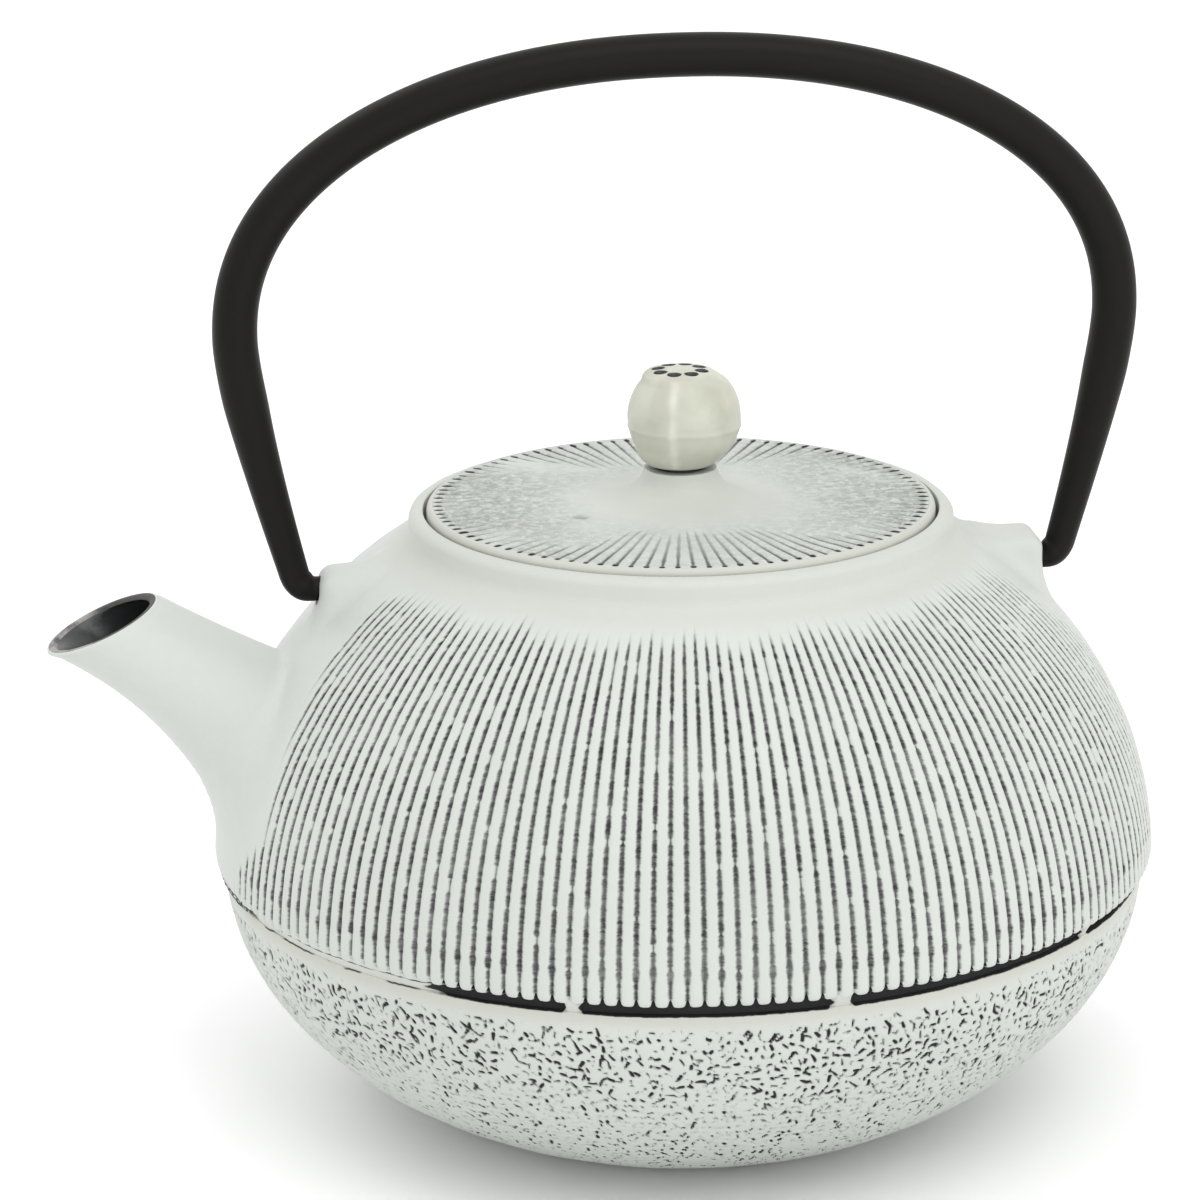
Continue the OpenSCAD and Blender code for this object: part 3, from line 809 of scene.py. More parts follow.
def spout_solid():
    t = np.concatenate([np.linspace(0, 0.05, 5), np.linspace(0.07, 1, 90)])
    top, low, half = spout_edges(t)
    sides = 160
    w = ring_angles(sides)
    mid, arm = (top + low)/2, (low - top)/2
    xz = arm[:, None]*np.cos(w)[None, :, None]
    direction = np.stack([xz[..., 0], half[:, None]*np.sin(w), xz[..., 1]], -1)
    reach = np.linalg.norm(direction, axis=-1)
    unit = direction/reach[..., None]
    centre = np.stack([mid[:, 0], 0*mid[:, 0], mid[:, 1]], -1)[:, None] + 0*direction

    def field(q):
        body = body_distance(q)
        width = spout_blend(q)
        return joined(body, spout_distance(q), width) + sunk(width*PART_SHARE - body)

    span = march(centre, unit, field, 34.0)
    blend = smooth(0.25, 0.4, t)[:, None]
    rings = centre + unit*mix(reach, span, blend)[..., None]
    # the lip's outer edge is rounded
    back = np.array([math.sin(SPOUT_TILT), 0, -math.cos(SPOUT_TILT)])
    inward = (rings[0] - rings[0].mean(0))
    inward /= np.linalg.norm(inward, axis=1)[:, None]
    rings[0] -= inward*0.45
    rings[1] = rings[0] + inward*0.33 + back*0.12
    rings[2] = rings[0] + inward*0.45 + back*0.45
    return loft("spout", rings, POT_MATERIALS, caps=(2, 0))


def spout_cut():
    """The bore. It starts outside the lip and its last ring is in the cavity."""
    t = np.linspace(0, 1, 41)
    rings = spout_rings(t, 1.8 + t, 72)
    out = np.array([-math.sin(SPOUT_TILT), 0, math.cos(SPOUT_TILT)])
    flare = rings[0] - rings[0].mean(0)
    flare /= np.linalg.norm(flare, axis=1)[:, None]
    first = rings[0] + flare*0.5 + out*0.05
    last = spout_rings(np.array([1.0]), np.array([2.8]), 72)[0] + np.array([WALL*2, 0, -WALL/2])
    rings = np.concatenate([[first + flare*0.2 + out*1.5, first, rings[0] - out*0.5], rings[1:], [last]])
    slots = np.ones(len(rings), int)
    slots[:2] = 2
    return loft("bore", rings, POT_MATERIALS, slots, caps=(1, 1))


def lug_solid(side):
    """One lug, blended into the shoulder."""
    rows, cols = 56, 96
    up = np.linspace(-math.pi/2, math.pi/2, rows + 2)[1:-1, None]
    around = ring_angles(cols)[None, :]
    d = np.stack([np.cos(up)*np.cos(around), np.cos(up)*np.sin(around), np.sin(up) + 0*around], -1)
    centre = np.array([53.0, 0, 90.5]) + 0*d

    def field(q):
        body = body_distance(q)
        lug = lug_distance(q*np.array([side, 1, 1]))
        return joined(body, lug, LUG_BLEND) + sunk(LUG_BLEND*PART_SHARE - body)

    span = march(centre, d, field, 16.0)
    p = centre + d*span[..., None]
    poles = []
    for sign in (-1, 1):
        axis = np.array([[[0, 0, sign]]], float)
        poles.append((centre[:1, :1] + axis*march(centre[:1, :1], axis, field, 16.0)[..., None])[0, 0])
    turn = np.array([side, 1, 1])
    return pole_solid("lug", p*turn, np.array(poles)*turn, POT_MATERIALS)


def pin_hole(side):
    """A blind hole with a small chamfer at the lug's face."""
    r = PIN_R + 0.08
    w = ring_angles(48)
    stations = [(-6.9, r), (-0.35, r), (0.4, r + 0.75), (1.5, r + 0.75)]
    rings = [np.stack([side*(LUG_FACE + x + 0*w), q*np.cos(w), HINGE_Z + q*np.sin(w)], -1)
             for x, q in stations]
    return loft("pin_hole", np.array(rings), POT_MATERIALS, [1, 1, 1], caps=(1, 1))


def cavity():
    """What is taken out of the casting: bowl, dome, neck, and the infuser's step."""
    inner_r, dome_in, bowl_in = BOWL_R - WALL, DOME_H - WALL, BOWL_H - WALL
    floor = WALL + FOOT_HOLLOW
    low = np.linspace(floor, SEAM_Z, 60)
    high = np.linspace(SEAM_Z + 0.6, LEDGE_Z - LEDGE_T, 60)
    bowl = resample(np.stack([inner_r*np.sqrt(1 - ((SEAM_Z - low)/bowl_in)**2), low], -1), 2.2)
    dome = resample(np.stack([inner_r*np.sqrt(1 - ((high - SEAM_Z)/dome_in)**2), high], -1), 2.2)
    neck_z = LEDGE_Z - LEDGE_T
    neck = rounded([(dome[-1][0], neck_z), (MOUTH_R, neck_z), (MOUTH_R, FLANGE_Z), (STEP_R, FLANGE_Z),
                    (STEP_R, LEDGE_Z - 0.1), (STEP_R + 0.4, LEDGE_Z + 0.3), (STEP_R + 0.4, LEDGE_Z + 1)],
                   0.3, 2)
    flat = [(0, floor), (12, floor), (24, floor)]
    outline = np.concatenate([flat, bowl, dome, neck[1:], [(0, LEDGE_Z + 1)]])
    return turned_solid("cavity", outline, 256, POT_MATERIALS, np.ones(len(outline), int))


def make_pot():
    obj, tables = pot_solid()
    combine(obj, [(spout_solid(), "UNION"), (lug_solid(1), "UNION"), (lug_solid(-1), "UNION"),
                  (cavity(), "DIFFERENCE"), (spout_cut(), "DIFFERENCE"),
                  (pin_hole(1), "DIFFERENCE"), (pin_hole(-1), "DIFFERENCE")])
    # the masks, looked up again at each point of the finished mesh
    p = coords(obj)
    r, z = np.hypot(p[:, 0], p[:, 1]), p[:, 2]
    rz, zone = tables["rz"], tables["zone"]
    column = np.round((np.arctan2(p[:, 1], p[:, 0]) % TAU)/TAU*COLS).astype(int) % COLS
    outer = np.flatnonzero((zone >= 1) & (zone <= 4))
    order = outer[np.argsort(rz[outer, 1], kind="stable")]
    heights = rz[order, 1]
    at = np.clip(np.searchsorted(heights, z), 1, len(order) - 1)
    row = np.where(np.abs(heights[at] - z) < np.abs(heights[at - 1] - z), order[at], order[at - 1])
    off = np.abs(body_distance(p))
    on_skin = (off < 1.6) & (r > 36)
    point_values(obj, "rib", np.where(on_skin, tables["amount"][row, column], 0))
    point_values(obj, "worm", np.where(on_skin & (z < 44), tables["worm"][row, column], 3))
    at_seam = (r > BOWL_R - 1.8) & (off < 4) & (np.abs(z - SEAM_Z) < 3.5)
    point_values(obj, "seam", np.where(at_seam, seam_row[column], 0))
    shade(obj, 58)
    place(obj, "pot", "painted_iron", "pot_body")


make_pot()


# ---- the lid
LID_R, LID_LOW, LID_FACE, LID_EDGE_Z, LID_EDGE_W = 44.05, 103.25, 108.0, 106.6, 1.2
BOSS_FOOT, BOSS_TOP_R, BOSS_TOP = 17.0, 6.4, 113.8
LIP_R, LIP_T, LIP_Z = 37.5, 2.5, 97.25
VENT_R, VENT_AT, VENT_ANGLE = 1.2, 20.5, math.radians(180 + 26)
LID_GROOVES, LID_COLS = 102, 8
PIT_AT, RIM_AT = 42.0, 42.9       # radius of the ring of pits, and of the fine line outside it


def lid_amount(theta, r):
    """How open the lid's radial grooves are: faded towards the boss, and shorter at the sides."""
    deg = np.degrees(turned(theta))
    wander = Wander(17, 0.35, 1)(theta)
    inner = 24.0 + 3.0*wander + 13.0*smooth(22, 45, np.abs(np.abs(deg + 2) - 90))
    return smooth(inner - 4, inner + 5, r)*(1 - smooth(42.5, 42.8, r))


def lid_paint():
    n = Nodes("lid_paint", IOR=1.45, Specular_IOR_Level=0.35)
    x, y = n.xyz()[:2]
    r = n.mul(n.math("SQRT", n.add(n.mul(x, x), n.mul(y, y))), 1000)
    turns = n.mul(n.math("ARCTAN2", y, x), LID_GROOVES/TAU)
    rib = n.math("ROUND", turns)
    off = n.mul(n.off(turns, rib), n.mul(r, TAU/LID_GROOVES))
    amount = n.attribute("rib")
    flow = n.noise(n.vector(n.mul(rib, 5.7), n.mul(r, 0.4), 0.0), 1.0, 2, 0.7)
    half = n.mul(n.ramp(flow, 0.0, 0.42), n.math("POWER", amount, 0.7))
    line = n.mul(n.step(n.add(half, 0.26), n.sub(half, 0.12), off), n.step(0.03, 0.7, amount))
    aside = n.math("ABSOLUTE", x)
    line = n.mul(line, n.ramp(n.step(28, 41, r), 0.35, 0.80))
    line = n.mul(line, n.ramp(n.step(0.018, 0.034, aside), 1.0, 0.45))
    # each groove ends in a small round pit
    away = n.math("SQRT", n.add(n.mul(off, off), n.math("POWER", n.mul(n.sub(r, PIT_AT), 0.6), 2.0)))
    size = n.ramp(n.noise(n.vector(n.mul(rib, 3.3), 0.0, 5.0), 1.0, 0), 0.22, 0.80)
    pit = n.step(n.add(size, 0.14), n.sub(size, 0.14), away)
    front = n.attribute("face")
    dark = n.mul(n.most(line, pit), front)
    # worn, mottled middle
    place = n.place()
    clouds = n.step(0.22, 0.58, n.noise(place, 62, 4, 0.6))
    scratch = n.step(0.30, 0.62, n.noise(place, 620, 4, 0.75, 0.6))
    zone = n.mul(n.step(13, 24, r), n.sub(1.0, n.step(41.9, 42.9, r)))
    side = n.step(0.012, 0.034, aside)
    wear = n.mul(n.mul(n.mul(clouds, scratch), zone), n.mul(n.ramp(side, 0.42, 1.0), 0.95))
    ring = n.mul(n.sub(1.0, n.step(0.05, 0.28, n.off(r, RIM_AT))), 0.35)
    white = paint_colour(n, n.most(n.step(42.9, 43.5, r), n.mul(n.step(20, 10, r), 0.6)))
    colour = n.blend(n.most(wear, n.mul(ring, front)), white, (0.27, 0.285, 0.262, 1))
    colour = n.blend(dark, colour, IRON_AND_SHADOW)
    rough = n.add(n.mul(clouds, 0.1), n.ramp(dark, 0.42, 0.62))
    return n.set(Base_Color=colour, Roughness=rough, Normal=cast_bump(n))


def make_lid():
    cols = LID_GROOVES*LID_COLS
    theta = ring_angles(cols)
    under = rounded([(20, LID_LOW), (LIP_R - LIP_T, LID_LOW), (LIP_R - LIP_T, LIP_Z), (LIP_R, LIP_Z),
                     (LIP_R, LID_LOW), (LID_R, LID_LOW), (LID_R, LID_EDGE_Z)], 0.5, 3)
    under = dense(under, 3.0)
    a = np.linspace(0.1, math.pi/2, 9)
    edge_r = LID_R - LID_EDGE_W + LID_EDGE_W*np.cos(a)
    edge = np.stack([edge_r, LID_EDGE_Z + (LID_FACE - LID_EDGE_Z)*np.sin(a)], -1)
    flat_r = np.concatenate([np.linspace(42.8, 40.9, 13), np.linspace(40.4, 17.5, 31)])
    face = np.stack([flat_r, LID_FACE + 0*flat_r], -1)
    a = np.linspace(0.0, math.pi/2, 22)
    boss = np.stack([mix(BOSS_FOOT, BOSS_TOP_R, np.sin(a)), BOSS_TOP - (BOSS_TOP - LID_FACE)*np.cos(a)], -1)
    boss[-1] = (BOSS_TOP_R - 0.15, BOSS_TOP)
    top = [(5.6, BOSS_TOP), (3.0, BOSS_TOP)]
    rows = np.concatenate([under, edge, face, boss, top])
    upper = np.arange(len(rows)) >= len(under)
    r = rows[:, :1] + 0*theta
    z = rows[:, 1:] + 0*theta
    column = np.arange(cols) % LID_COLS
    groove = np.array([1, 0.5, 0.08, 0, 0, 0, 0.08, 0.5])[column]
    amount = lid_amount(theta[None, :], r)*upper[:, None]
    flat = upper[:, None] & (r > 16) & (r < 43.2)
    z = z - np.where(flat, 0.32*groove*amount, 0)
    pits = np.exp(-((r - PIT_AT)/0.45)**2)*np.array([1, 0.6, 0.06, 0, 0, 0, 0.06, 0.6])[column]
    z = z - np.where(flat, 0.30*pits*(1 - amount*groove), 0)
    z = z - np.where(upper[:, None], 0.10*np.exp(-((r - RIM_AT)/0.22)**2), 0)
    lump = Wander(19, 7.0)(r*np.cos(theta), r*np.sin(theta))
    z = z + np.where(upper[:, None] & (r < 43.0), 0.05*lump - 0.05, 0)
    p = np.stack([r*np.cos(theta), r*np.sin(theta), z], -1)
    slots = np.repeat(np.where(np.arange(len(rows) - 1) < len(under) - 3, 1, 0), cols)
    obj = pole_solid("iron_lid", p, [[0, 0, LID_LOW], [0, 0, BOSS_TOP]], (lid_paint(), dark_enamel), slots)
    for k in range(cols):
        obj.data.polygons[len(slots) + k].material_index = 1
    coat = obj.data.materials[:]
    vent = [(0, LID_LOW - 1), (VENT_R, LID_LOW - 1), (VENT_R, LID_FACE - 0.45),
            (VENT_R + 0.35, LID_FACE - 0.02), (VENT_R + 0.7, LID_FACE + 0.6), (0, LID_FACE + 0.6)]
    vent = turned_solid("vent", vent, 40, coat, [0]*6)
    move(vent, VENT_AT, VENT_ANGLE)
    bore = turned_solid("bore", plug(SCREW_R + 0.25, LID_LOW - 1, BOSS_TOP + 1), 40, coat, [1]*4)
    combine(obj, [(vent, "DIFFERENCE"), (bore, "DIFFERENCE")])
    q = coords(obj)
    radius = np.hypot(q[:, 0], q[:, 1])
    at = np.arctan2(q[:, 1], q[:, 0])
    face = (q[:, 2] > LID_FACE - 0.6) & (radius < 43.3) & (radius > 16)
    point_values(obj, "face", face.astype(float))
    point_values(obj, "rib", np.where(face, lid_amount(at, radius), 0))
    shade(obj, 55)
    place(obj, "lid", "lid_iron", "lid")


# ---- the knob, its screw and washer
KNOB_R, KNOB_Z, KNOB_WIDE, KNOB_TOP = 9.9, 114.5, 122.6, 131.1
KNOB_BASE_R, KNOB_TOP_R, KNOB_WALL, KNOB_FLOOR = 5.7, 5.2, 1.6, 119.1
KNOB_HOLES, KNOB_HOLE_R, KNOB_HOLE_AT = 8, 1.0, 3.9
KNOB_RIDGES = ((-111.0, 0.42), (69.0, 0.36))       # angle and height of the two mould ridges
KNOB_ASIDE, PARTING_Z = 0.7, 121.2                 # the ball sits a little off its screw
SCREW_R, SCREW_HEAD_R, WASHER_R = 2.0, 4.0, 5.0
WASHER_Z, HEAD_Z, SCREW_END = 102.45, 100.05, 118.1


def oval(r, height, centre, start, end, count):
    """An arc of an ellipse about the Z axis as (r, z), from one angle to another."""
    return [np.array([r*math.cos(a), centre + height*math.sin(a)]) for a in np.linspace(start, end, count)]


def make_knob():
    low = (KNOB_WIDE - KNOB_Z)/math.sqrt(1 - (KNOB_BASE_R/KNOB_R)**2)
    high = (KNOB_TOP - KNOB_WIDE)/math.sqrt(1 - (KNOB_TOP_R/KNOB_R)**2)
    a, b = math.asin((KNOB_WIDE - KNOB_Z)/low), math.asin((KNOB_TOP - KNOB_WIDE)/high)
    ball = oval(KNOB_R, low, KNOB_WIDE, -a + 0.05, 0, 26)
    ball += oval(KNOB_R, high, KNOB_WIDE, 0.04, b - 0.07, 22)
    start = rounded([(4.5, BOSS_TOP), (4.5, KNOB_Z), (KNOB_BASE_R, KNOB_Z), ball[0]], 0.35, 3)
    crown = [ball[-1], (KNOB_TOP_R - 0.25, KNOB_TOP - 0.25), (3.4, KNOB_TOP - 0.02), (2.5, KNOB_TOP)]
    crown = rounded(crown, 1.2, 5)
    rows = np.concatenate([[(2.4, BOSS_TOP)], start[:-1], ball, crown[1:], [(1.2, KNOB_TOP)]])
    cols = 192
    theta = ring_angles(cols)
    r, z = rows[:, :1] + 0*theta, rows[:, 1:] + 0*theta
    mid = smooth(KNOB_Z + 1.0, KNOB_Z + 3.5, z)*(1 - smooth(KNOB_TOP - 2.2, KNOB_TOP - 0.6, z))
    ridge = np.zeros(r.shape)
    for at, size in KNOB_RIDGES:
        off = turned(theta - math.radians(at))[None, :]*r
        ridge += size*np.exp(-(off/0.75)**2)
    parting = 0.15*np.exp(-((z - PARTING_Z)/0.38)**2)
    lump = Wander(23, 6.0, 3)(r*np.cos(theta), r*np.sin(theta), z)
    r = r + (np.clip(ridge + parting, 0, 0.46) - 0.12 + 0.08*lump)*mid
    p = np.stack([r*np.cos(theta) + KNOB_ASIDE*mid, r*np.sin(theta), z], -1)
    coat = (knob_paint(), dark_enamel)
    obj = pole_solid("ball_knob", p, [[0, 0, BOSS_TOP], [0, 0, KNOB_TOP]], coat)
    in_r, in_top = KNOB_R - KNOB_WALL - 0.2, KNOB_TOP - KNOB_WALL
    in_low, in_high = low - KNOB_WALL, high - KNOB_WALL
    inner = [(0, KNOB_FLOOR)]
    inner += oval(in_r, in_low, KNOB_WIDE, -math.asin((KNOB_WIDE - KNOB_FLOOR)/in_low), 0, 14)
    inner += oval(in_r, in_high, KNOB_WIDE, 0.08, math.asin((in_top - KNOB_WIDE)/in_high), 12)
    inner.append((0, in_top))
    tools = [turned_solid("hollow", inner, 64, coat, [1]*len(inner)),
             turned_solid("thread", plug(SCREW_R + 0.03, BOSS_TOP - 1, SCREW_END + 0.5), 48, coat, [1]*4)]
    hole = [(0, in_top - 1), (KNOB_HOLE_R, in_top - 1), (KNOB_HOLE_R, KNOB_TOP - 0.5),
            (KNOB_HOLE_R + 0.3, KNOB_TOP - 0.1), (KNOB_HOLE_R + 0.6, KNOB_TOP + 0.6), (0, KNOB_TOP + 0.6)]
    for k in range(KNOB_HOLES):
        tools.append(turned_solid("hole", hole, 32, coat, [1, 1, 0, 0, 0, 0]))
        move(tools[-1], KNOB_HOLE_AT, TAU*(k + 0.5)/KNOB_HOLES)
    combine(obj, [(tool, "DIFFERENCE") for tool in tools])
    q = coords(obj)
    radius = np.hypot(q[:, 0], q[:, 1])
    at = np.arctan2(q[:, 1], q[:, 0] - KNOB_ASIDE)
    # a painted highlight: a lighter streak along the mould ridge that faces the camera
    near = KNOB_RIDGES[0][0]
    streak = np.exp(-(np.abs(turned(at - math.radians(near)))*radius/0.75)**2)*(radius > KNOB_TOP_R + 1)
    point_values(obj, "ridge", streak*(0.65 + 0.35*Wander(31, 4.0, 1)(q[:, 2])))
    # marks the knob's neck under the ball, where the shadow of the gap at its base is painted
    point_values(obj, "dark", (radius < KNOB_BASE_R + 0.1) & (q[:, 2] < KNOB_Z + 0.05))
    shade(obj, 50)
    place(obj, "lid", "knob_iron", "lid_knob")


def make_screw():
    steel_plain = steel("screw_steel", 0.3)
    outline = rounded([(0.6, HEAD_Z), (SCREW_HEAD_R - 0.5, HEAD_Z), (SCREW_HEAD_R, HEAD_Z + 0.7),
                       (SCREW_HEAD_R, WASHER_Z), (SCREW_R, WASHER_Z), (SCREW_R, SCREW_END - 0.5),
                       (SCREW_R - 0.5, SCREW_END), (0.4, SCREW_END)], 0.25, 3)
    outline = np.concatenate([[(0, HEAD_Z)], outline, [(0, SCREW_END)]])
    obj = turned_solid("slotted_screw", outline, 64, (steel_plain,))
    w, d = 0.55, 1.1
    box = [(-w, -6, HEAD_Z - 1), (w, -6, HEAD_Z - 1), (w, 6, HEAD_Z - 1), (-w, 6, HEAD_Z - 1)]
    rings = np.array([box, [(x, y, HEAD_Z + d) for x, y, _ in box]])
    combine(obj, [(loft("slot", rings, (steel_plain,)), "DIFFERENCE")])
    shade(obj, 35)
    place(obj, "lid", "screw_steel", "knob_screw")
    ring = [(SCREW_R + 0.9, WASHER_Z), (WASHER_R, WASHER_Z), (WASHER_R, WASHER_Z + 0.8),
            (SCREW_R + 0.25, WASHER_Z + 0.8), (SCREW_R + 0.25, WASHER_Z), (SCREW_R + 0.9, WASHER_Z)]
    ring = rounded(ring, 0.18, 3)[:-1]
    obj = turned_solid("round_washer", ring, 96, (steel_plain,), axis_ends=False)
    shade(obj, 35)
    place(obj, "lid", "screw_steel", "knob_washer")


# ---- the bail
BAIL_H, BAIL_WIDE, BAIL_HALF_W = 90.6, 44.7, 76.0     # both heights are from the hinge up
BAIL_END_D, BAIL_D, BEND_R = 5.2, 7.7, 3.7


def make_bail():
    """A bent tube of changing thickness with a pin at each end."""
    end = np.array([LUG_FACE + 0.5, HINGE_Z])
    lean = math.radians(15)
    start = end + BEND_R*np.array([math.cos(lean), 1 - math.sin(lean)])
    side, wide_z, crown = BAIL_HALF_W, HINGE_Z + BAIL_WIDE, BAIL_H - BAIL_WIDE
    ctrl = np.array([side, start[1] + (side - start[0])/math.tan(lean)])
    wide = np.array([side, wide_z])
    line, thick = [], []
    for x in np.linspace(LUG_FACE - 6.4, end[0], 7):
        line.append([x, HINGE_Z])
        thick.append(2*PIN_R)
    for t in np.linspace(0, 1, 15)[1:]:
        a = mix(math.pi/2, lean, t)
        line.append(end + BEND_R*np.array([math.cos(a), 1 - math.sin(a)]))
        thick.append(mix(2*PIN_R, BAIL_END_D, float(smooth(0, 0.45, t))))
    for t in np.linspace(0, 1, 41)[1:]:
        line.append(bezier(start, ctrl, wide, t))
        thick.append(mix(BAIL_END_D, BAIL_D, min(1, 1.7*t)))
    for a in np.linspace(0, math.pi/2, 61)[1:]:
        line.append([side*math.cos(a)**0.93, wide_z + crown*math.sin(a)**0.93])
        thick.append(BAIL_D - 0.2*math.sin(a)**2)
    half, dia = np.array(line), np.array(thick)
    half[-1, 0] = 0
    line = np.concatenate([half, (half*[-1, 1])[-2::-1]])
    dia = np.concatenate([dia, dia[-2::-1]])
    for _ in range(3):
        dia[1:-1] = (dia[:-2] + 2*dia[1:-1] + dia[2:])/4
    step = np.gradient(line, axis=0)
    step /= np.linalg.norm(step, axis=1)[:, None]
    across = np.stack([-step[:, 1], step[:, 0]], -1)
    w = ring_angles(48)
    xz = line[:, None] + across[:, None]*np.cos(w)[None, :, None]*dia[:, None, None]/2
    rings = np.stack([xz[..., 0], np.sin(w)[None]*dia[:, None]/2, xz[..., 1]], -1)
    for k, sign in ((0, 1), (-1, -1)):
        rings[k] = rings[k].mean(0) + (rings[k] - rings[k].mean(0))*0.75
        nxt = 1 if k == 0 else -2
        rings[nxt] = rings[k].mean(0) + (rings[nxt] - rings[nxt].mean(0)) + np.array([sign*0.4, 0, 0])
    obj = loft("bail_tube", rings, (bail_paint(),))
    shade(obj, 40)
    place(obj, "bail", "bail_steel", "bail_handle")


# ---- the infuser
MESH_OUT, MESH_LOW, MESH_TOP, INFUSER_Z = 38.2, 41.8, 92.8, 41.2
PLATE_OUT = 38.8
WIRE, PITCH = 0.15, 1.8


def wires(name, paths, radius, materials, sides=6):
    """Round wires along paths; each path is (points, one normal a point)."""
    points, quads, fans, base = [], [], [], 0
    w = ring_angles(sides)
    for line, normal, closed in paths:
        step = np.roll(line, -1, 0) - np.roll(line, 1, 0) if closed else np.gradient(line, axis=0)
        step /= np.linalg.norm(step, axis=1)[:, None]
        side = np.cross(step, normal)
        side /= np.linalg.norm(side, axis=1)[:, None]
        up = np.cross(side, step)
        turn = side[:, None]*np.cos(w)[None, :, None] + up[:, None]*np.sin(w)[None, :, None]
        ring = line[:, None] + radius*turn
        m = len(line)
        points.append(ring.reshape(-1, 3))
        quads.append(grid(m, sides, closed) + base)
        if not closed:
            fans += [[base + k for k in range(sides)], [base + m*sides - 1 - k for k in range(sides)]]
        base += m*sides
    return make_mesh(name, np.concatenate(points), np.concatenate(quads), fans, materials)


def make_infuser():
    plate = steel("infuser_steel", 0.5)
    wire = steel("infuser_wire_steel", 0.1)
    flange = [(MESH_OUT, 96.0), (MESH_OUT, 90.8), (PLATE_OUT, 90.8), (PLATE_OUT, FLANGE_Z), (41.5, FLANGE_Z),
              (41.5, FLANGE_Z + 0.6), (MESH_OUT, FLANGE_Z + 0.6), (MESH_OUT, 96.0)]
    base = [(36, INFUSER_Z), (PLATE_OUT, INFUSER_Z), (PLATE_OUT, 45.8), (MESH_OUT, 45.8),
            (MESH_OUT, MESH_LOW), (34.2, MESH_LOW), (34.2, INFUSER_Z), (36, INFUSER_Z)]
    rings = (("infuser_rim", flange, "infuser_collar"), ("infuser_base", base, "infuser_base_ring"))
    for name, outline, node in rings:
        obj = turned_solid(name, rounded(outline, 0.28, 3)[:-1], 256, (plate,), axis_ends=False)
        shade(obj, 35)
        place(obj, "infuser", "infuser_steel", node)

    middle = MESH_OUT - 0.3
    uprights = int(round(TAU*middle/PITCH/2))*2
    hoops = int(round((MESH_TOP - MESH_LOW)/PITCH))
    gap = (MESH_TOP - MESH_LOW - 0.6)/(hoops - 1)
    paths = []
    z = MESH_LOW + 0.3 + np.arange(0, (hoops - 1)*2 + 1)*gap/2
    for k in range(uprights):
        a = TAU*k/uprights
        r = middle + 0.14*np.cos(math.pi*np.arange(len(z))/2 + math.pi*(k % 2))
        line = np.stack([r*math.cos(a), r*math.sin(a), z], -1)
        paths.append((line, np.tile([math.cos(a), math.sin(a), 0], (len(z), 1)), False))
    a = np.arange(uprights*2)*TAU/uprights/2
    for h in range(hoops):
        r = middle - 0.14*np.cos(math.pi*np.arange(len(a))/2 + math.pi*(h % 2))
        line = np.stack([r*np.cos(a), r*np.sin(a), 0*a + MESH_LOW + 0.3 + h*gap], -1)
        paths.append((line, np.stack([np.cos(a), np.sin(a), 0*a], -1), True))
    obj = wires("infuser_weave", paths, WIRE, (wire,))
    shade(obj, 60)
    place(obj, "infuser", "infuser_steel", "infuser_mesh")

    limit, paths = MESH_OUT - 0.62, []
    count = int(limit/PITCH)
    for turn in (0, 1):
        for k in range(-count, count + 1):
            reach = int(math.sqrt(limit**2 - (k*PITCH)**2)/(PITCH/2))
            s = np.arange(-reach, reach + 1)
            z = MESH_LOW + 0.3 + (1 - 2*turn)*0.14*np.cos(math.pi*s/2 + math.pi*(k % 2))
            u, v = s*PITCH/2, np.full(len(s), k*PITCH)
            line = np.stack([v, u, z] if turn else [u, v, z], -1)
            if len(line) > 2:
                paths.append((line, np.tile([0, 0, 1.0], (len(s), 1)), False))
    obj = wires("infuser_floor_weave", paths, WIRE, (wire,))
    shade(obj, 60)
    place(obj, "infuser", "infuser_steel", "infuser_mesh_floor")

    # the side seam: a thin strip over the joint of the rolled mesh, with a row of weld dimples
    a = np.radians(np.linspace(86, 94, 25))
    z = np.linspace(46.3, 90.3, 177)
    dimple = np.exp(-((a - math.pi/2)[None, :]*38.5/0.55)**2)
    dimple = dimple*np.exp(-(((z[:, None] - 48.3) % 5 - 2.5)/0.55)**2)
    outer = 38.68 - 0.22*dimple
    outer[:, (0, -1)] -= 0.18
    outer[(0, -1), :] -= 0.18
    inner = np.full(outer.shape, MESH_OUT + 0.02)
    rings = []
    for k in range(len(z)):
        front = np.stack([outer[k]*np.cos(a), outer[k]*np.sin(a), z[k] + 0*a], -1)
        back = np.stack([inner[k]*np.cos(a), inner[k]*np.sin(a), z[k] + 0*a], -1)[::-1]
        rings.append(np.concatenate([front, back]))
    obj = loft("infuser_strip", np.array(rings), (plate,))
    shade(obj, 50)
    place(obj, "infuser", "infuser_steel", "infuser_seam_strip")


make_lid()
make_knob()
make_screw()
make_bail()
make_infuser()


# ---- floor, light and camera
def area_light(name, at, aim, size, power, colour=(1, 1, 1)):
    data = bpy.data.lights.new(name, "AREA")
    data.shape, data.size, data.size_y = "RECTANGLE", size[0], size[1]
    data.energy, data.color = power, colour
    obj = bpy.data.objects.new(name, data)
    obj.location = at
    obj.rotation_mode = "QUATERNION"
    obj.rotation_quaternion = (Vector(aim) - Vector(at)).to_track_quat("-Z", "Y")
    bpy.context.scene.collection.objects.link(obj)


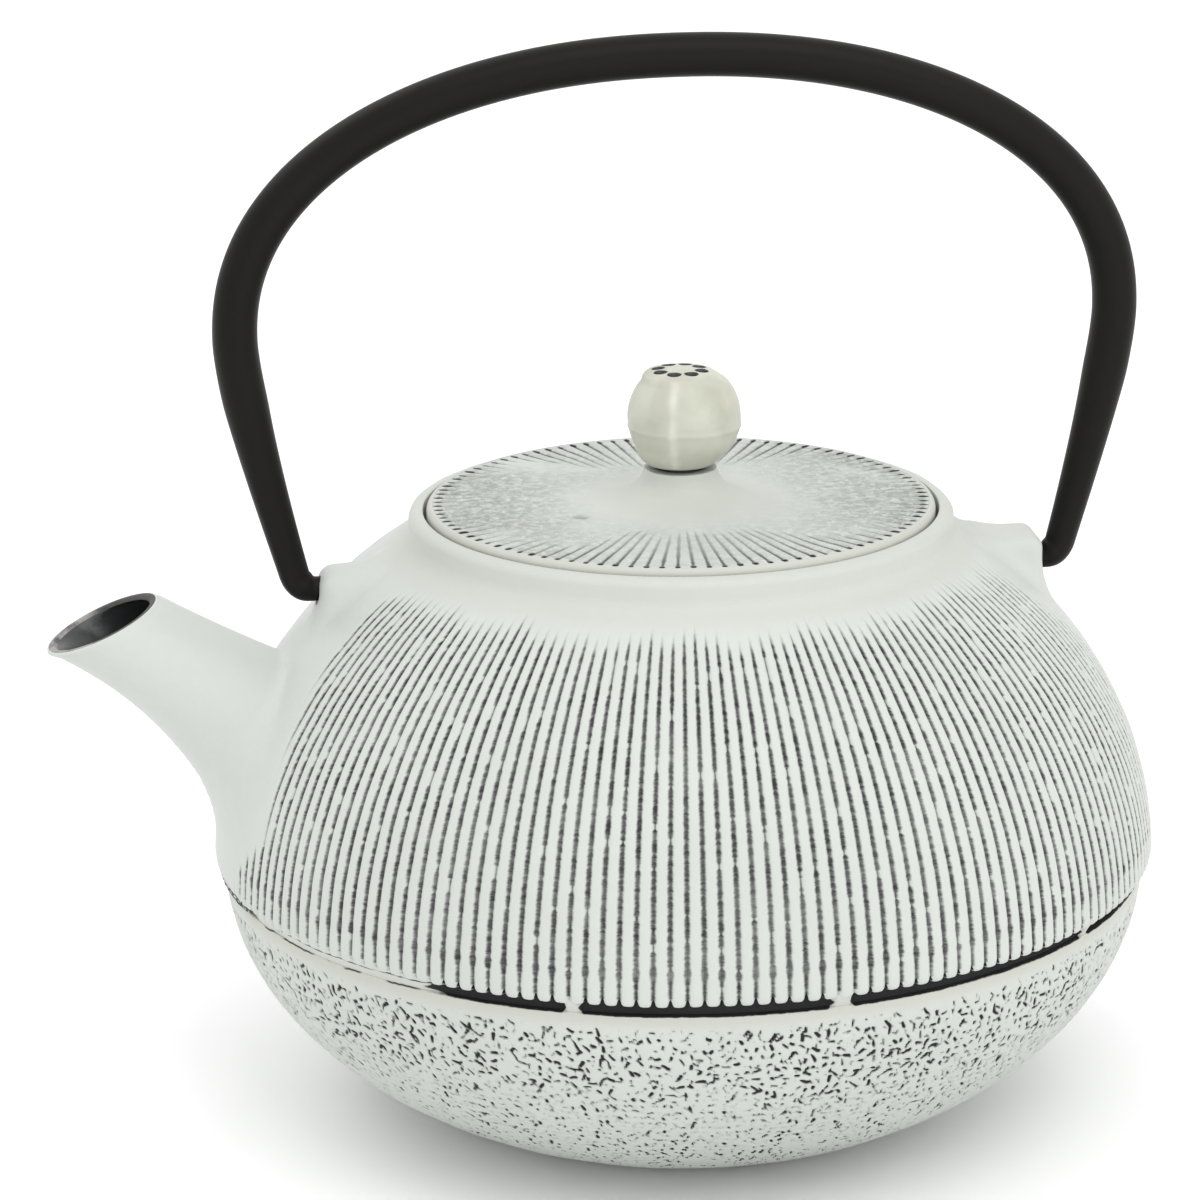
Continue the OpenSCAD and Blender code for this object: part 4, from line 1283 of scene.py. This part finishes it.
def make_floor():
    """A plain, pale, flat round sheet."""
    n = 48
    w = ring_angles(n)
    profile = [(3.2, 0.0), (2.2, 0.0), (1.2, 0.0), (0.5, 0.0), (0.2, 0.0)]
    points = [(r*math.cos(a), r*math.sin(a), z) for r, z in profile for a in w] + [(0, 0, 0)]
    last = len(points) - 1
    faces = [q[::-1].tolist() for q in grid(len(profile), n)]
    faces += [(last - n + i, last - n + (i + 1) % n, last) for i in range(n)]
    mesh = bpy.data.meshes.new("floor")
    mesh.from_pydata(points, [], faces)
    mesh.materials.append(floor_paper())
    mesh.shade_smooth()
    obj = bpy.data.objects.new("floor", mesh)
    obj.location.z = cad_low.z - 0.0001
    bpy.context.scene.collection.objects.link(obj)


def make_camera():
    """The camera stands a little left of the front and looks down."""
    eye, aim = Vector((-106.6, -747.4, 314.9))*MM, Vector((-14.2, 0.5, 90.2))*MM
    data = bpy.data.cameras.new("camera")
    data.lens, data.sensor_width = 135.6, 36
    data.clip_start, data.clip_end = 0.01, 20
    data.dof.use_dof = False
    obj = bpy.data.objects.new("camera", data)
    obj.location = eye
    obj.rotation_mode = "QUATERNION"
    roll = Quaternion((0, 0, 1), math.radians(-0.64))
    obj.rotation_quaternion = (aim - eye).to_track_quat("-Z", "Y") @ roll
    bpy.context.scene.collection.objects.link(obj)
    bpy.context.scene.camera = obj


def make_world():
    world = bpy.data.worlds.new("studio")
    world.use_nodes = True
    world.node_tree.nodes["Background"].inputs["Color"].default_value = (1, 1, 1, 1)
    world.node_tree.nodes["Background"].inputs["Strength"].default_value = 1.1
    bpy.context.scene.world = world


make_floor()
make_camera()
make_world()
area_light("key", (0.3, -0.8, 1.5), (0, 0, 0.08), (1.2, 1.2), 7.2)
area_light("low", (0.4, -1.3, 0.3), (0, 0, 0.02), (1.0, 0.4), 1.4)
area_light("fill", (1.3, -0.9, 0.8), (0, 0, 0.08), (1.0, 1.0), 1.0)
area_light("back", (-0.9, 0.7, 1.4), (0, 0, 0.1), (1.2, 0.8), 4.0)
bpy.context.scene.view_settings.view_transform = "Standard"
